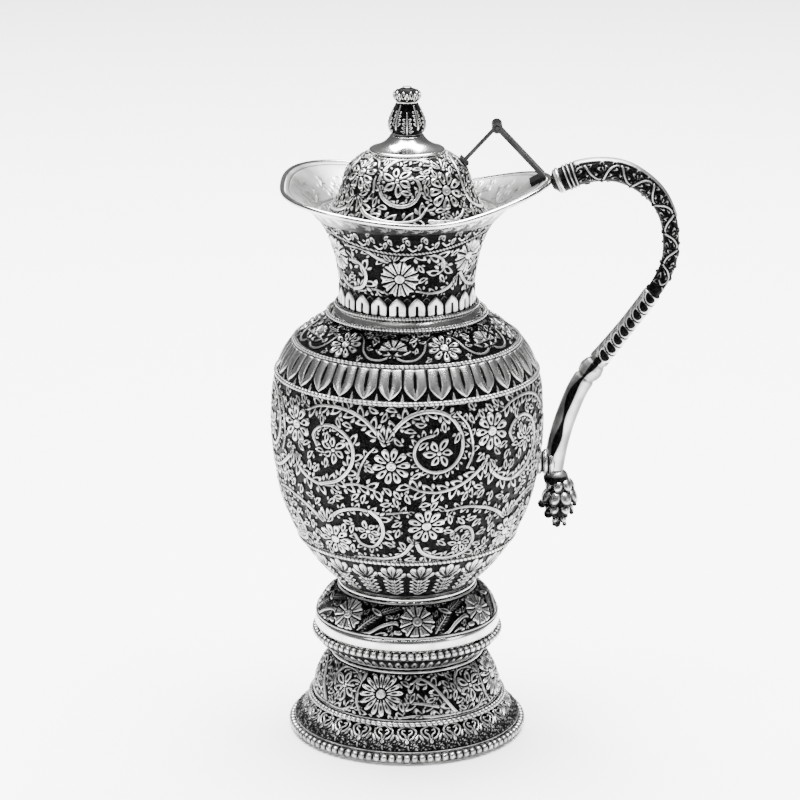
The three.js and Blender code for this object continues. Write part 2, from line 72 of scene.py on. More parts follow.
def mm_box(node):
    """Lowest and highest corner of a frame node, in millimetres."""
    low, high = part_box(node)
    return np.array(low) / MM, np.array(high) / MM


print("frame nodes:", len(frame["nodes"]))

# %% [markdown]
# The camera stands in front of the pitcher, a little above it, with the lip on the left
# and the handle on the right. A long lens keeps the sides of the foot nearly parallel.

# %% Camera
camera_data = bpy.data.cameras.new("camera")
camera = bpy.data.objects.new("camera", camera_data)
bpy.context.scene.collection.objects.link(camera)
bpy.context.scene.camera = camera
camera.location = (0.0, -1.6, 0.6374)
camera.rotation_euler = (math.radians(90 - 16.24), 0, 0)
camera_data.lens = 150.9
camera_data.sensor_width = 36
camera_data.shift_x = -0.00875
camera_data.clip_end = 20

# %% [markdown]
# Polished silver shows only what it reflects. A wide lamp overhead makes the floor white
# and lights the metal from above and, off the floor, from below. The room itself is dim,
# so that the metal has dark edges, and two soft lamps give its highlights.

# %% Floor and light
def mesh_from(bm, name):
    mesh = bpy.data.meshes.new(name)
    bm.to_mesh(mesh)
    bm.free()
    return mesh


def plain_material(name, colour, roughness):
    material = bpy.data.materials.new(name)
    material.use_nodes = True
    shader = material.node_tree.nodes["Principled BSDF"]
    shader.inputs["Base Color"].default_value = (*colour, 1)
    shader.inputs["Roughness"].default_value = roughness
    return material


floor_bm = bmesh.new()
bmesh.ops.create_grid(floor_bm, x_segments=2, y_segments=2, size=4)
floor = bpy.data.objects.new("floor", mesh_from(floor_bm, "floor"))
bpy.context.scene.collection.objects.link(floor)
floor.data.materials.append(plain_material("pale floor", (0.96, 0.96, 0.96), 0.7))

world = bpy.data.worlds.new("studio")
bpy.context.scene.world = world
world.use_nodes = True
world.node_tree.nodes["Background"].inputs["Color"].default_value = (1, 1, 1, 1)
world.node_tree.nodes["Background"].inputs["Strength"].default_value = 0.2


def soft_lamp(name, place, size, power):
    """A square lamp that faces the middle of the pitcher."""
    data = bpy.data.lights.new(name, "AREA")
    data.size = size
    data.energy = power
    lamp = bpy.data.objects.new(name, data)
    bpy.context.scene.collection.objects.link(lamp)
    lamp.location = place
    aim = Vector((0, 0, 0.17)) - Vector(place)
    lamp.rotation_euler = aim.to_track_quat("-Z", "Y").to_euler()
    return lamp


soft_lamp("ceiling", (0.0, 0.35, 2.6), 2.4, 760)
soft_lamp("key", (-1.3, -1.4, 0.95), 0.7, 13)
soft_lamp("side", (1.6, -0.9, 0.55), 0.6, 8)
print("lamps: ceiling, key, side")

# %% [markdown]
# Chased silver is one metal with two finishes. The raised work is rubbed bright; the
# ground is punched with small dots and blackened, so that the work stands out. Each
# chased piece carries a number at every point, `tone`: 0 on the ground and 1 on the work;
# some pieces also carry painted shade and painted highlights in it.

# %% Silver
def noise(nodes, links, scale, detail, coords):
    node = nodes.new("ShaderNodeTexNoise")
    node.inputs["Scale"].default_value = scale
    node.inputs["Detail"].default_value = detail
    links.new(coords, node.inputs["Vector"])
    return node


def ramp(nodes, links, factor, stops):
    """A colour ramp; stops are (position, grey or colour)."""
    node = nodes.new("ShaderNodeValToRGB")
    links.new(factor, node.inputs["Fac"])
    elements = node.color_ramp.elements
    while len(elements) < len(stops):
        elements.new(0.5)
    for element, (position, colour) in zip(elements, stops):
        element.position = position
        rgb = (colour,) * 3 if isinstance(colour, float) else colour
        element.color = (*rgb, 1)
    return node.outputs["Color"]


def silver(name, bright=0.86, rough=(0.2, 0.34), chased=False, bump=0.15, stain=0.25):
    """Silver with worn patches and fine scratches; a chased one has a black ground."""
    material = bpy.data.materials.new(name)
    material.use_nodes = True
    nodes, links = material.node_tree.nodes, material.node_tree.links
    shader = nodes["Principled BSDF"]
    shader.inputs["Metallic"].default_value = 1
    coords = nodes.new("ShaderNodeTexCoord").outputs["Object"]
    cloud = noise(nodes, links, 90, 4, coords)
    grain = noise(nodes, links, 1500, 3, coords)
    dull = bright * (1 - stain)
    metal = ramp(nodes, links, cloud.outputs["Fac"],
                 [(0.35, (dull, dull, dull * 0.985)), (0.6, (bright, bright, bright * 0.985))])
    roughness = ramp(nodes, links, cloud.outputs["Fac"], [(0.3, rough[1]), (0.7, rough[0])])
    height = grain.outputs["Fac"]
    if chased:
        tone = nodes.new("ShaderNodeAttribute")
        tone.attribute_name = "tone"
        work = ramp(nodes, links, tone.outputs["Fac"], [(0.2, 0.0), (0.5, 0.4), (0.82, 1.0)])
        dots = nodes.new("ShaderNodeTexVoronoi")
        dots.inputs["Scale"].default_value = 1250
        links.new(coords, dots.inputs["Vector"])
        ground = ramp(nodes, links, dots.outputs["Distance"],
                      [(0.0, 0.02), (0.34, 0.005), (0.6, 0.001)])
        mix = nodes.new("ShaderNodeMix")
        mix.data_type = "RGBA"
        links.new(work, mix.inputs["Factor"])
        links.new(ground, mix.inputs["A"])
        links.new(metal, mix.inputs["B"])
        links.new(mix.outputs["Result"], shader.inputs["Base Color"])
        matt = nodes.new("ShaderNodeMix")
        links.new(work, matt.inputs["Factor"])
        matt.inputs["A"].default_value = 0.62
        links.new(roughness, matt.inputs["B"])
        links.new(matt.outputs["Result"], shader.inputs["Roughness"])
        height = dots.outputs["Distance"]
    else:
        links.new(metal, shader.inputs["Base Color"])
        links.new(roughness, shader.inputs["Roughness"])
    relief = nodes.new("ShaderNodeBump")
    relief.inputs["Strength"].default_value = bump
    relief.inputs["Distance"].default_value = 0.0002
    links.new(height, relief.inputs["Height"])
    links.new(relief.outputs["Normal"], shader.inputs["Normal"])
    return material


chased_silver = silver("chased silver", 0.56, (0.2, 0.34), chased=True, bump=0.2, stain=0.5)
polished_silver = silver("polished silver", 0.66, (0.1, 0.24), bump=0.04, stain=0.4)
matte_silver = silver("matte silver", 0.55, (0.38, 0.5), bump=0.25, stain=0.3)

# %% [markdown]
# The chasing is first drawn on a flat sheet, the way a chaser lays it out: one repeat of
# a band, with x round the piece and y up its outline, in millimetres. The sheet holds two
# grids: `rise`, how far the silver is raised, and `tone`. Every shape first clears a
# narrow moat round itself, as a chaser does, so that each leaf keeps a dark edge.

# %% A flat sheet to chase
def soft(distance, width=0.35):
    """0 outside and 1 inside a shape, with a short ramp between them."""
    return np.clip(0.5 + distance / width, 0.0, 1.0)


def distances(line):
    """How far along a line each of its points is."""
    return np.r_[0, np.cumsum(np.hypot(*np.diff(line, axis=0).T))]


def length_of(line):
    return float(np.hypot(*np.diff(line, axis=0).T).sum())


class Sheet:
    """One repeat of a chased band laid flat. stretch(y) is how much wider the flat sheet
    is at y than the real piece."""

    def __init__(self, width, height, stretch=None, cell=0.2):
        self.cell = cell
        self.rows, self.cols = round(height / cell), round(width / cell)
        self.width, self.height = width, height
        self.rise = np.zeros((self.rows, self.cols))
        self.tone = np.zeros((self.rows, self.cols))
        self.stretch = stretch or (lambda y: 1.0)

    def near(self, x, y, reach):
        """Rows and columns within reach of a point, and their distances from it."""
        k = self.stretch(y)
        high = int(reach / self.cell) + 2
        wide = min(int(reach * k / self.cell) + 2, self.cols // 2 - 1)
        row, col = int(y / self.cell), int(x // self.cell)
        rows = np.arange(max(row - high, 0), min(row + high + 1, self.rows))
        cols = np.arange(col - wide, col + wide + 1)
        dx = ((cols + 0.5) * self.cell - x)[None, :] / k
        dy = ((rows + 0.5) * self.cell - y)[:, None]
        return rows[:, None], (cols % self.cols)[None, :], dx + 0 * dy, dy + 0 * dx

    def grid(self):
        """The x of every column and the y of every row, in mm."""
        x = ((np.arange(self.cols) + 0.5) * self.cell)[None, :]
        y = ((np.arange(self.rows) + 0.5) * self.cell)[:, None]
        return x, y

    def wipe(self, share):
        """Takes away a share of all the work, from 0 to 1."""
        self.rise *= 1 - share
        self.tone *= 1 - share

    def add(self, rise, tone):
        """Lays more work over the whole sheet, where it stands higher."""
        self.rise = np.maximum(self.rise, rise)
        self.tone = np.maximum(self.tone, tone)

    def clear(self, i, j, inside):
        keep = 1 - soft(inside)
        self.rise[i, j] *= keep
        self.tone[i, j] *= keep

    def raise_to(self, i, j, rise, tone):
        self.rise[i, j] = np.maximum(self.rise[i, j], rise)
        self.tone[i, j] = np.maximum(self.tone[i, j], tone)

    def cut(self, i, j, inside, depth=0.5):
        line = soft(inside, 0.3)
        self.rise[i, j] *= 1 - depth * line
        self.tone[i, j] *= 1 - 0.92 * line


def spline(points, step=0.4):
    """A smooth line through a few points."""
    p = np.array(points, float)
    p = np.vstack([2 * p[0] - p[1], p, 2 * p[-1] - p[-2]])
    out = []
    for a, b, c, d in zip(p[:-3], p[1:-2], p[2:-1], p[3:]):
        count = max(int(np.hypot(*(c - b)) / step), 2)
        t = np.linspace(0, 1, count, endpoint=False)[:, None]
        out.append(0.5 * (2 * b + (c - a) * t + (2 * a - 5 * b + 4 * c - d) * t ** 2
                          + (3 * b - a - 3 * c + d) * t ** 3))
    return np.vstack(out + [p[-2:-1]])

# %% [markdown]
# Stems and leaves are most of the work. A stem is a round ridge that thins towards its
# end, with a line cut along the thick part. A leaf is a pointed dome with a dark eye.

# %% Stems and leaves
def stem(sheet, path, thick=1.7, thin=0.9, height=0.9, groove=0.35, moat=0.25):
    radius = np.linspace(thick / 2, thin / 2, len(path))
    for (x, y), r in zip(path, radius):
        i, j, dx, dy = sheet.near(x, y, r + moat + 0.3)
        sheet.clear(i, j, r + moat - np.hypot(dx, dy))
    for (x, y), r in zip(path, radius):
        i, j, dx, dy = sheet.near(x, y, r + 0.3)
        d = np.hypot(dx, dy)
        body = soft(r - d)
        sheet.raise_to(i, j, body * height * np.sqrt(np.clip(1.15 - (d / r) ** 2, 0, 1)), body)
    if groove:
        for (x, y), r in zip(path, radius):
            if r > 0.62:
                i, j, dx, dy = sheet.near(x, y, groove + 0.3)
                sheet.cut(i, j, groove / 2 - np.hypot(dx, dy))
    return path


def leaf(sheet, x, y, angle, length=5.4, width=3.0, bend=0.0, slot=0.36, height=0.9,
         fat=1.2, moat=0.35):
    """A leaf that starts at x, y and points along angle, with a dark eye of share slot."""
    k = sheet.stretch(y)
    ux, uy = math.cos(angle), math.sin(angle)
    half_way = (x + ux * length / 2 * k, y + uy * length / 2)
    i, j, dx, dy = sheet.near(*half_way, length * 0.6 + abs(bend) + moat + 0.6)
    if i.size == 0:
        return
    dx, dy = dx + ux * length / 2, dy + uy * length / 2
    along = (dx * ux + dy * uy) / length
    t = np.clip(along, 0, 1)
    across = np.abs(dy * ux - dx * uy - bend * 4 * t * (1 - t))
    half = width / 2 * np.sin(np.pi * t ** fat) ** 0.8
    end = np.minimum(along, 1 - along) * length
    inside = np.minimum(half - across, end + 0.12)
    sheet.clear(i, j, inside + moat)
    body = soft(inside)
    crown = np.sqrt(np.clip(1 - (across / (half + 0.2)) ** 2, 0, 1))
    sheet.raise_to(i, j, body * height * (0.25 + 0.75 * crown), body)
    if slot:
        eye = 1 - np.hypot((along - 0.5) / 0.24, across / (width * slot / 2))
        sheet.cut(i, j, eye * width * slot / 2, 0.6)


def lobed_leaf(sheet, x, y, angle, length, width, bend=0.0, slot=0.4, moat=0.3):
    """A leaf with a small lobe on each side of its foot."""
    for side in (1, -1):
        leaf(sheet, x + 0.22 * length * math.cos(angle), y + 0.22 * length * math.sin(angle),
             angle + side * 0.85, length * 0.5, width * 0.44, bend=side * 0.5, slot=0,
             height=0.72, moat=moat)
    leaf(sheet, x, y, angle, length, width * 0.8, bend=bend, slot=slot, moat=0.25)


def leafy(sheet, path, every=4.0, size=8.0, start=3.0, stop=0.3, lean=0.62, grow=1.0,
          bend=1.0, width=0.58, slot=0.5, sides=(1, -1)):
    """Leaves that spring from a stem, turn by turn on its sides."""
    run = distances(path)
    at = np.arange(start, run[-1] - stop, every)
    for count, place in enumerate(at):
        x, y = (np.interp(place, run, path[:, k]) for k in (0, 1))
        x2, y2 = (np.interp(place + 0.5, run, path[:, k]) for k in (0, 1))
        side = sides[count % len(sides)]
        turn = math.atan2(y2 - y, x2 - x) + side * lean
        length = size * (1 + (grow - 1) * place / run[-1])
        grown = lobed_leaf if length > 5 else leaf
        grown(sheet, x + 0.3 * math.cos(turn), y + 0.3 * math.sin(turn), turn, length,
              length * width, bend=-side * bend, slot=slot)

# %% [markdown]
# Flowers are seen full face: petals round a ring with a bead in it. The petals are long
# with a cut down the middle, or broad and notched like hearts.

# %% Flowers
heart_gap = 0.8  # heart-shaped petals stand well apart, in mm


def flower(sheet, x, y, radius, petals=10, turn=0.0, boss=0.2, heart=False, slot=0.34,
           height=1.15, gap=0.3, half=False):
    """A full-face flower; half keeps only the petals above its middle."""
    i, j, dx, dy = sheet.near(x, y, radius + 1.2)
    d = np.hypot(dx, dy)
    gap = heart_gap if heart else gap
    sector = 2 * math.pi / petals
    off = (np.arctan2(dy, dx) - turn + sector / 2) % sector - sector / 2
    across, along = np.abs(d * np.sin(off)), d * np.cos(off)
    inner = radius * (boss + 0.10)
    sheet.clear(i, j, np.minimum(radius + 0.45 - d, dy + 0.6 if half else radius))
    if heart:
        side = along * math.tan(sector / 2) - gap / 2
        notch = np.clip(1 - across / (0.28 * radius * sector), 0, 1)
        inside = np.minimum(np.minimum(side - across, radius * (1 - 0.12 * notch) - d),
                            along - inner)
        vein = np.minimum(0.24 - across, np.minimum(along - radius * 0.4, radius * 0.78 - along))
        crown = np.clip(1 - (across / (np.abs(side) + 0.4)) ** 2, 0, 1)
    else:
        u = (along - (inner + radius) / 2) / ((radius - inner) / 2)
        widest = (inner + 0.64 * (radius - inner)) * math.tan(sector / 2) - gap / 2
        side = widest * np.sqrt(np.clip(1 - np.abs(u) ** 2.4, 0, 1)) * (0.72 + 0.34 * u)
        inside = np.minimum(side - across, (1 - np.abs(u)) * (radius - inner) / 2 + 0.05)
        vein = (1 - np.hypot((u + 0.05) / 0.42, across / (slot * widest))) * slot * widest
        crown = np.clip(1 - (across / (side + 0.25)) ** 2, 0, 1)
    if half:
        inside = np.minimum(inside, dy + 0.2)
    body = soft(inside)
    sheet.raise_to(i, j, body * height * (0.5 + 0.5 * np.sqrt(crown)), body)
    if slot:
        sheet.cut(i, j, vein)
    ring = soft(radius * 0.05 + 0.2 - np.abs(d - radius * (boss - 0.02)), 0.3)
    bead = soft(radius * boss * 0.45 - d, 0.3)
    if half:
        ring, bead = ring * soft(dy), bead * soft(dy)
    sheet.raise_to(i, j, np.maximum(ring, bead * 1.1) * height, np.maximum(ring, bead))


def sprig(sheet, x, y, size=7.0, turn=0.0):
    """A small blossom with leaves, as stands inside a scroll."""
    for k in range(6):
        a = turn + k * math.pi / 3
        reach = size * (1.0, 0.82, 0.95, 0.8, 0.9, 0.78)[k]
        leaf(sheet, x + 0.9 * math.cos(a), y + 0.9 * math.sin(a), a, reach, size * 0.5,
             bend=0.6, slot=0.36, moat=0.25)
    i, j, dx, dy = sheet.near(x, y, 1.6)
    bead = soft(1.1 - np.hypot(dx, dy))
    sheet.clear(i, j, 1.5 - np.hypot(dx, dy))
    sheet.raise_to(i, j, bead, bead)


def fill_ground(sheet, count, size=3.8, bare=0.1, seed=3):
    """Small leaves, one by one, where the ground is barest; the larger ones are lobed."""
    rng = np.random.default_rng(seed)
    n = int(1.6 / sheet.cell)
    for _ in range(count):
        pad = np.pad(sheet.tone, n, mode="wrap")
        pad[:n] = pad[-n:] = 1
        total = np.pad(np.cumsum(np.cumsum(pad, 0), 1), ((1, 0), (1, 0)))
        w = 2 * n
        cover = (total[w:-1, w:-1] - total[:-w - 1, w:-1] - total[w:-1, :-w - 1]
                 + total[:-w - 1, :-w - 1])[:sheet.rows, :sheet.cols] / w ** 2
        place = int(np.argmin(cover + rng.random(cover.shape) * 0.02))
        if cover.flat[place] > bare:
            break
        row, col = divmod(place, cover.shape[1])
        a = rng.uniform(0, 2 * math.pi)
        grown = lobed_leaf if size > 4.2 else leaf
        grown(sheet, (col + 0.5) * sheet.cell - math.cos(a) * size / 2,
              (row + 0.5) * sheet.cell - math.sin(a) * size / 2, a, size, size * 0.55,
              bend=rng.uniform(-0.9, 0.9), moat=0.25)

# %% [markdown]
# The outline of each piece is turned about the upright axis, as on a spinning lathe. One
# narrow sector is spun and then doubled until it closes, which is much quicker. The mesh
# remembers how far up the outline each point is, so the flat sheet can be
# wrapped round it: the points move out by `rise` and keep `tone` for the material.

# %% Spinning an outline
def curve(start, pull, push, end, steps=80):
    t = np.linspace(0, 1, steps + 1)[:, None]
    a, b, c, d = (np.array(p, float) for p in (start, pull, push, end))
    return (1 - t) ** 3 * a + 3 * (1 - t) ** 2 * t * b + 3 * (1 - t) * t * t * c + t ** 3 * d


def evened(outline, step):
    """The outline with points a step apart, and each one's distance along it."""
    run = distances(outline)
    along = np.linspace(0, run[-1], max(int(round(run[-1] / step)), 1) + 1)
    return np.column_stack([np.interp(along, run, outline[:, k]) for k in (0, 1)]), along


def normals_of(outline):
    """Outward directions of an outline that runs upwards with the outside on its right."""
    d = np.gradient(np.asarray(outline, float), axis=0)
    d /= np.hypot(d[:, 0], d[:, 1])[:, None]
    return np.column_stack([d[:, 1], -d[:, 0]])


def part_of(outline, low, high):
    """The stretch of an outline between two distances along it."""
    run = distances(outline)
    at = np.r_[low, run[(run > low) & (run < high)], high]
    return np.column_stack([np.interp(at, run, outline[:, k]) for k in (0, 1)])


def spun(name, profile, steps, sweep=2 * math.pi, start=0.0, along=None):
    """A mesh turned about Z from [radius, level] points in mm. along holds each point's
    distance up the outline, or -1 where no chasing goes."""
    bm = bmesh.new()
    layer = bm.verts.layers.float.new("along")
    ring = []
    for k, (r, z) in enumerate(profile):
        vert = bm.verts.new((r * MM * math.cos(start), r * MM * math.sin(start), z * MM))
        vert[layer] = -1.0 if along is None else along[k]
        ring.append(vert)
    edges = [bm.edges.new(pair) for pair in zip(ring, ring[1:] + ring[:1])]
    whole = abs(sweep - 2 * math.pi) < 1e-6
    doublings = 5 if whole else 3
    share = 2 ** doublings
    bmesh.ops.spin(bm, geom=ring + edges, cent=(0, 0, 0), axis=(0, 0, 1), dvec=(0, 0, 0),
                   angle=sweep / share, steps=max(round(steps / share), 1), use_merge=False,
                   use_duplicate=False)
    for k in range(doublings):
        copied = bmesh.ops.duplicate(bm, geom=bm.verts[:] + bm.edges[:] + bm.faces[:])
        moved = [v for v in copied["geom"] if isinstance(v, bmesh.types.BMVert)]
        bmesh.ops.rotate(bm, verts=moved,
                         matrix=Matrix.Rotation(sweep / share * 2 ** k, 3, "Z"))
    bmesh.ops.remove_doubles(bm, verts=bm.verts, dist=1e-6)
    if not whole:
        bmesh.ops.holes_fill(bm, edges=[e for e in bm.edges if e.is_boundary], sides=0)
    bmesh.ops.recalc_face_normals(bm, faces=bm.faces)
    mesh = mesh_from(bm, name)
    return mesh


def piece(name, mesh, material, body, slot, *replaced):
    """Puts a finished mesh in the scene, on its body."""
    obj = bpy.data.objects.new(name, mesh)
    bpy.context.scene.collection.objects.link(obj)
    mesh.materials.append(material)
    mesh.shade_smooth()
    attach(obj, body)
    if replaced:
        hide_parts(*replaced)
    print(f"{name}: {len(mesh.polygons)} faces")
    return obj


def coordinates(mesh):
    places = np.empty(len(mesh.vertices) * 3, np.float32)
    mesh.vertices.foreach_get("co", places)
    return places.reshape(-1, 3).astype(float)


def vertex_normals(mesh):
    found = np.empty(len(mesh.vertices) * 3, np.float32)
    mesh.vertices.foreach_get("normal", found)
    return found.reshape(-1, 3).astype(float)


def move_to(mesh, places):
    mesh.vertices.foreach_set("co", places.astype(np.float32).ravel())
    mesh.update()


def give_tone(mesh, tone):
    layer = mesh.attributes.get("tone") or mesh.attributes.new("tone", "FLOAT", "POINT")
    layer.data.foreach_set("value", np.asarray(tone, np.float32))


def read_sheet(grid, x, y, cell):
    """Values of a sheet's grid at x, y in mm, between its cells; x runs on round it."""
    rows, cols = grid.shape
    u, v = x / cell - 0.5, np.clip(y / cell - 0.5, 0, rows - 1.001)
    i, j = np.floor(v).astype(int), np.floor(u).astype(int)
    fu, fv = u - j, v - i
    a, b = grid[i, j % cols], grid[i, (j + 1) % cols]
    c, d = grid[i + 1, j % cols], grid[i + 1, (j + 1) % cols]
    return (a * (1 - fu) + b * fu) * (1 - fv) + (c * (1 - fu) + d * fu) * fv


def softened(grid):
    """A grid averaged over its neighbours, so that points between lines miss none."""
    g = np.pad(grid, 1, mode="edge")
    g[:, 0], g[:, -1] = g[:, -3], g[:, 2]
    g = (g[:-2] + 2 * g[1:-1] + g[2:]) / 4
    return (g[:, :-2] + 2 * g[:, 1:-1] + g[:, 2:]) / 4


unshaded_rise = 0.88  # work this high, in mm, is left fully bright by the painted shade
shaded_foot_share = 0.1  # share of its brightness the painted shade leaves at the foot of the work


def wrap_chasing(mesh, sheet, repeats, first_angle, sink=0.45):
    """Wraps a flat sheet round a spun mesh whose points know their distance along."""
    along = np.empty(len(mesh.vertices), np.float32)
    mesh.attributes["along"].data.foreach_get("value", along)
    mesh.attributes.remove(mesh.attributes["along"])
    co, normal = coordinates(mesh), vertex_normals(mesh)
    share = (np.arctan2(co[:, 1], co[:, 0]) - first_angle) * repeats / (2 * math.pi)
    x, y = share * sheet.width, np.clip(along, 0, None)
    chased = along >= 0
    rise = read_sheet(softened(sheet.rise), x, y, sheet.cell)
    tone = read_sheet(softened(sheet.tone), x, y, sheet.cell)
    lift = np.where(chased, rise - sink, 0.0)
    move_to(mesh, co + normal * lift[:, None] * MM)
    # Work is darkened where it stands low, at its foot and edges: painted shade, partly the
    # blackening that lies round the work.
    tone *= shaded_foot_share + (1 - shaded_foot_share) * np.clip(rise / unshaded_rise, 0, 1) ** 1.7
    give_tone(mesh, np.where(chased, tone, 1.0))


def chased_band(name, outline, sheet, repeats, first_angle, nodes=(), wall=1.0, cell=0.4,
                body="pitcher", sweep=2 * math.pi, start=None, sink=0.45):
    """A closed ring of sheet silver whose outer face carries the chasing."""
    outer, along = evened(np.asarray(outline), cell)
    inner = (np.asarray(outline) - wall * normals_of(outline))[::-1]
    inner, _ = evened(inner, 4.0)
    profile = np.vstack([outer, inner])
    marks = np.r_[along, -np.ones(len(inner))]
    middle = float(np.mean(outer[:, 0]))
    steps = int(round(middle * sweep / cell))
    mesh = spun(name, profile, steps, sweep, first_angle if start is None else start, marks)
    wrap_chasing(mesh, sheet, repeats, first_angle, sink)
    return piece(name, mesh, chased_silver, body, "chased_silver", *nodes)

# %% [markdown]
# The body is one raised sheet. Inside it stays a plain shell from the frame's own
# outline; outside, each chased band is a ring of its own, as a chaser works band by band
# between two ropes. The band round the belly is the widest: four repeats of scrolls.

# %% Outline of the body
low, high = mm_box("body_collar")
body_foot = high[2] + 0.3
low, high = mm_box("body_shell")
belly_radius, body_top = high[0], high[2]
bowl_depth = body_foot - low[2]
belly_height = 84.2
belly_level = body_foot + belly_height
foot_radius, neck_radius = 33.5, 37.0
climb = belly_level - body_foot
shoulder = body_top - belly_level
body_outline = np.vstack([
    curve((foot_radius, body_foot), (belly_radius - 6, body_foot + 0.27 * climb),
          (belly_radius, body_foot + 0.67 * climb), (belly_radius, belly_level)),
    curve((belly_radius, belly_level), (belly_radius, belly_level + 0.39 * shoulder),
          (belly_radius - 1.5, belly_level + 0.76 * shoulder), (neck_radius, body_top))[1:]])
print("body: foot", round(body_foot, 1), "belly", round(belly_radius, 1), "top", round(body_top, 1))


def stretch_of(outline, repeats, width):
    """How much wider the flat sheet is than the real piece at a distance up it."""
    run = distances(outline)
    return lambda y: width / (2 * math.pi * np.interp(y, run, outline[:, 0]) / repeats)


inner_wall = body_outline - 1.25 * normals_of(body_outline)
shell_profile = np.vstack([evened(inner_wall, 3)[0],
                           evened(body_outline - 0.75 * normals_of(body_outline), 3)[0][::-1]])
inner_shell = spun("body_inner", shell_profile, 128)
piece("body_inner", inner_shell, matte_silver, "pitcher", "matte_silver", "body_shell")
bowl = np.vstack([curve((0, body_foot - bowl_depth), (14, body_foot - bowl_depth),
                        (26, body_foot - 2.6), (foot_radius - 0.3, body_foot), 16),
                  curve((foot_radius - 1.3, body_foot), (25, body_foot - 1.4),
                        (14, body_foot - bowl_depth + 1.2), (0, body_foot - bowl_depth + 1.2), 16)])
piece("body_bowl", spun("body_bowl", bowl, 96), matte_silver, "pitcher", "matte_silver")

# %% [markdown]
# The belly's band. The layout runs in two rows: from points on the lower edge V-shaped
# stems rise and curl into rings with a blossom inside, daisies stand between them, and
# long curved leaves fan from each root.

# %% Band of scrolls round the belly
def fan(sheet, x, y, direction, sizes=(9, 8, 7), spread=0.42, width=0.34, first=0.22):
    """Long curved leaves that open on both sides of a root."""
    for side in (1, -1):
        for k, size in enumerate(sizes):
            turn = direction + side * (first + spread * k)
            leaf(sheet, x + side * 0.3, y, turn, size, size * width, bend=side * 1.0, slot=0.34,
                 moat=0.3)


def leafy_stem(sheet, points, thick=2.2, thin=1.2, size=8.0, every=4.0, start=3.0, **more):
    """A stem through a few points, with leaves on both sides of it."""
    path = spline(points)
    leafy(sheet, path, every, size, start=start, **more)
    stem(sheet, path, thick, thin, height=1.0, moat=0.1)
    return path


def scroll(sheet, points, blossom, thick=2.2, thin=1.5, size=6.6, turn=0.3, leaves=(1,),
           bare=0.4):
    """A stem that curls into a ring, with a blossom in the ring; the last bare share of
    the stem has leaves on its outside only."""
    path = spline(points)
    split = int(len(path) * (1 - bare))
    leafy(sheet, path[:split], 4.0, 7.6, start=4)
    leafy(sheet, path[split:], 5.2, 5.4, start=1.5, sides=leaves)
    stem(sheet, path, thick, thin, height=1.0, moat=0.1)
    sprig(sheet, *blossom, size, turn)
    return path


belly_from, belly_run = 33.6, 83.8  # start and length of the belly band, along the outline
belly_to = belly_from + belly_run


def belly_sheet():
    length = belly_run
    width = 2 * math.pi * belly_radius / 4
    outline = part_of(body_outline, belly_from, belly_to)
    sheet = Sheet(width, length, stretch_of(outline, 4, width))
    # lower row: roots at (27.5, 20) and (77, 12)
    leafy_stem(sheet, [(130.5, 20.5), (124, 25), (116, 28.7), (104, 31.2), (93, 30.4)], size=5.6)
    leafy_stem(sheet, [(28.5, 20.5), (36, 27.5), (47, 30.6), (60, 29.2), (73, 30.5)], size=5.6)
    scroll(sheet, [(54, 30), (59, 25), (60, 17), (54.5, 9.6), (47, 10.6), (44, 16)],
           (52, 18.5), size=5.8, turn=1.8, bare=0.55)
    leafy_stem(sheet, [(76, 12), (70, 4.8), (60, 1.8), (44, 1.6)], size=5.2)
    scroll(sheet, [(78, 12), (81.5, 6), (90, 2.2), (100, 1.8), (108.6, 5), (111, 12),
                   (107.5, 18.6), (101.5, 20), (97, 16)], (102.8, 10.6), size=6.0, turn=0.9)
    fan(sheet, 27.5, 20.0, math.radians(90), (9, 7.5))
    fan(sheet, 77, 12, math.radians(90), (7, 6))
    # upper row: roots at (63, 65) and (115, 56)
    leafy_stem(sheet, [(8.5, 56), (11.5, 48), (18, 43), (27, 40.8), (38, 42.4), (48, 43.8),
                       (57, 41.5)])
    scroll(sheet, [(27, 41), (38, 45), (44.8, 52.5), (46.3, 60.5), (43, 67.5), (35, 71.6),
                   (27.5, 70.3), (23.2, 65.5), (25.6, 60.4)], (35.5, 59.8), size=7.2, turn=0.5)
    leafy_stem(sheet, [(61.8, 65), (57, 72), (49.5, 78), (39, 81), (27, 80.4), (19, 77)])
    scroll(sheet, [(63.8, 66), (68, 73.8), (75.5, 79.6), (85, 81.3), (94, 78.3), (99.6, 70),
                   (100, 60.5), (94.5, 53), (86.5, 51), (79.3, 54.4), (76.4, 61), (79.5, 67.4),
                   (86, 69.6)], (88.5, 60.5), size=7.6, turn=1.0, bare=0.62)
    leafy_stem(sheet, [(114, 54.5), (107.5, 48.3), (99, 43.2), (89, 40.7), (80, 41.6), (72, 45.4)])
    for x, y, direction, size in ((62.8, 66, 90, 9), (115, 54.5, -90, 8)):
        fan(sheet, x, y, math.radians(direction), (size, size - 1.5), first=0.16)
    leafy_stem(sheet, [(48, 47), (50.5, 54), (54, 60), (57, 63)], 1.4, 1.0, 4.8)
    leafy_stem(sheet, [(103, 52), (106, 60), (104, 72), (98, 80)], 1.4, 1.0, 5.0)
    # daisies over the roots
    flower(sheet, 65.3, 54.4, 9.2, 10, 0.1)
    flower(sheet, 117.1, 68.3, 9.4, 9, 0.3)
    flower(sheet, 83.1, 22.3, 9.2, 10, 0.25)
    flower(sheet, 30.6, 10.6, 9.0, 10, 0.0)
    fill_ground(sheet, 70, size=6.4, bare=0.08, seed=4)
    return sheet


# %% [markdown]
# The ropes between the bands are two thin wires twisted together and soldered on. A
# twisted wire is a round section whose outline has two lobes, turned as it goes round.

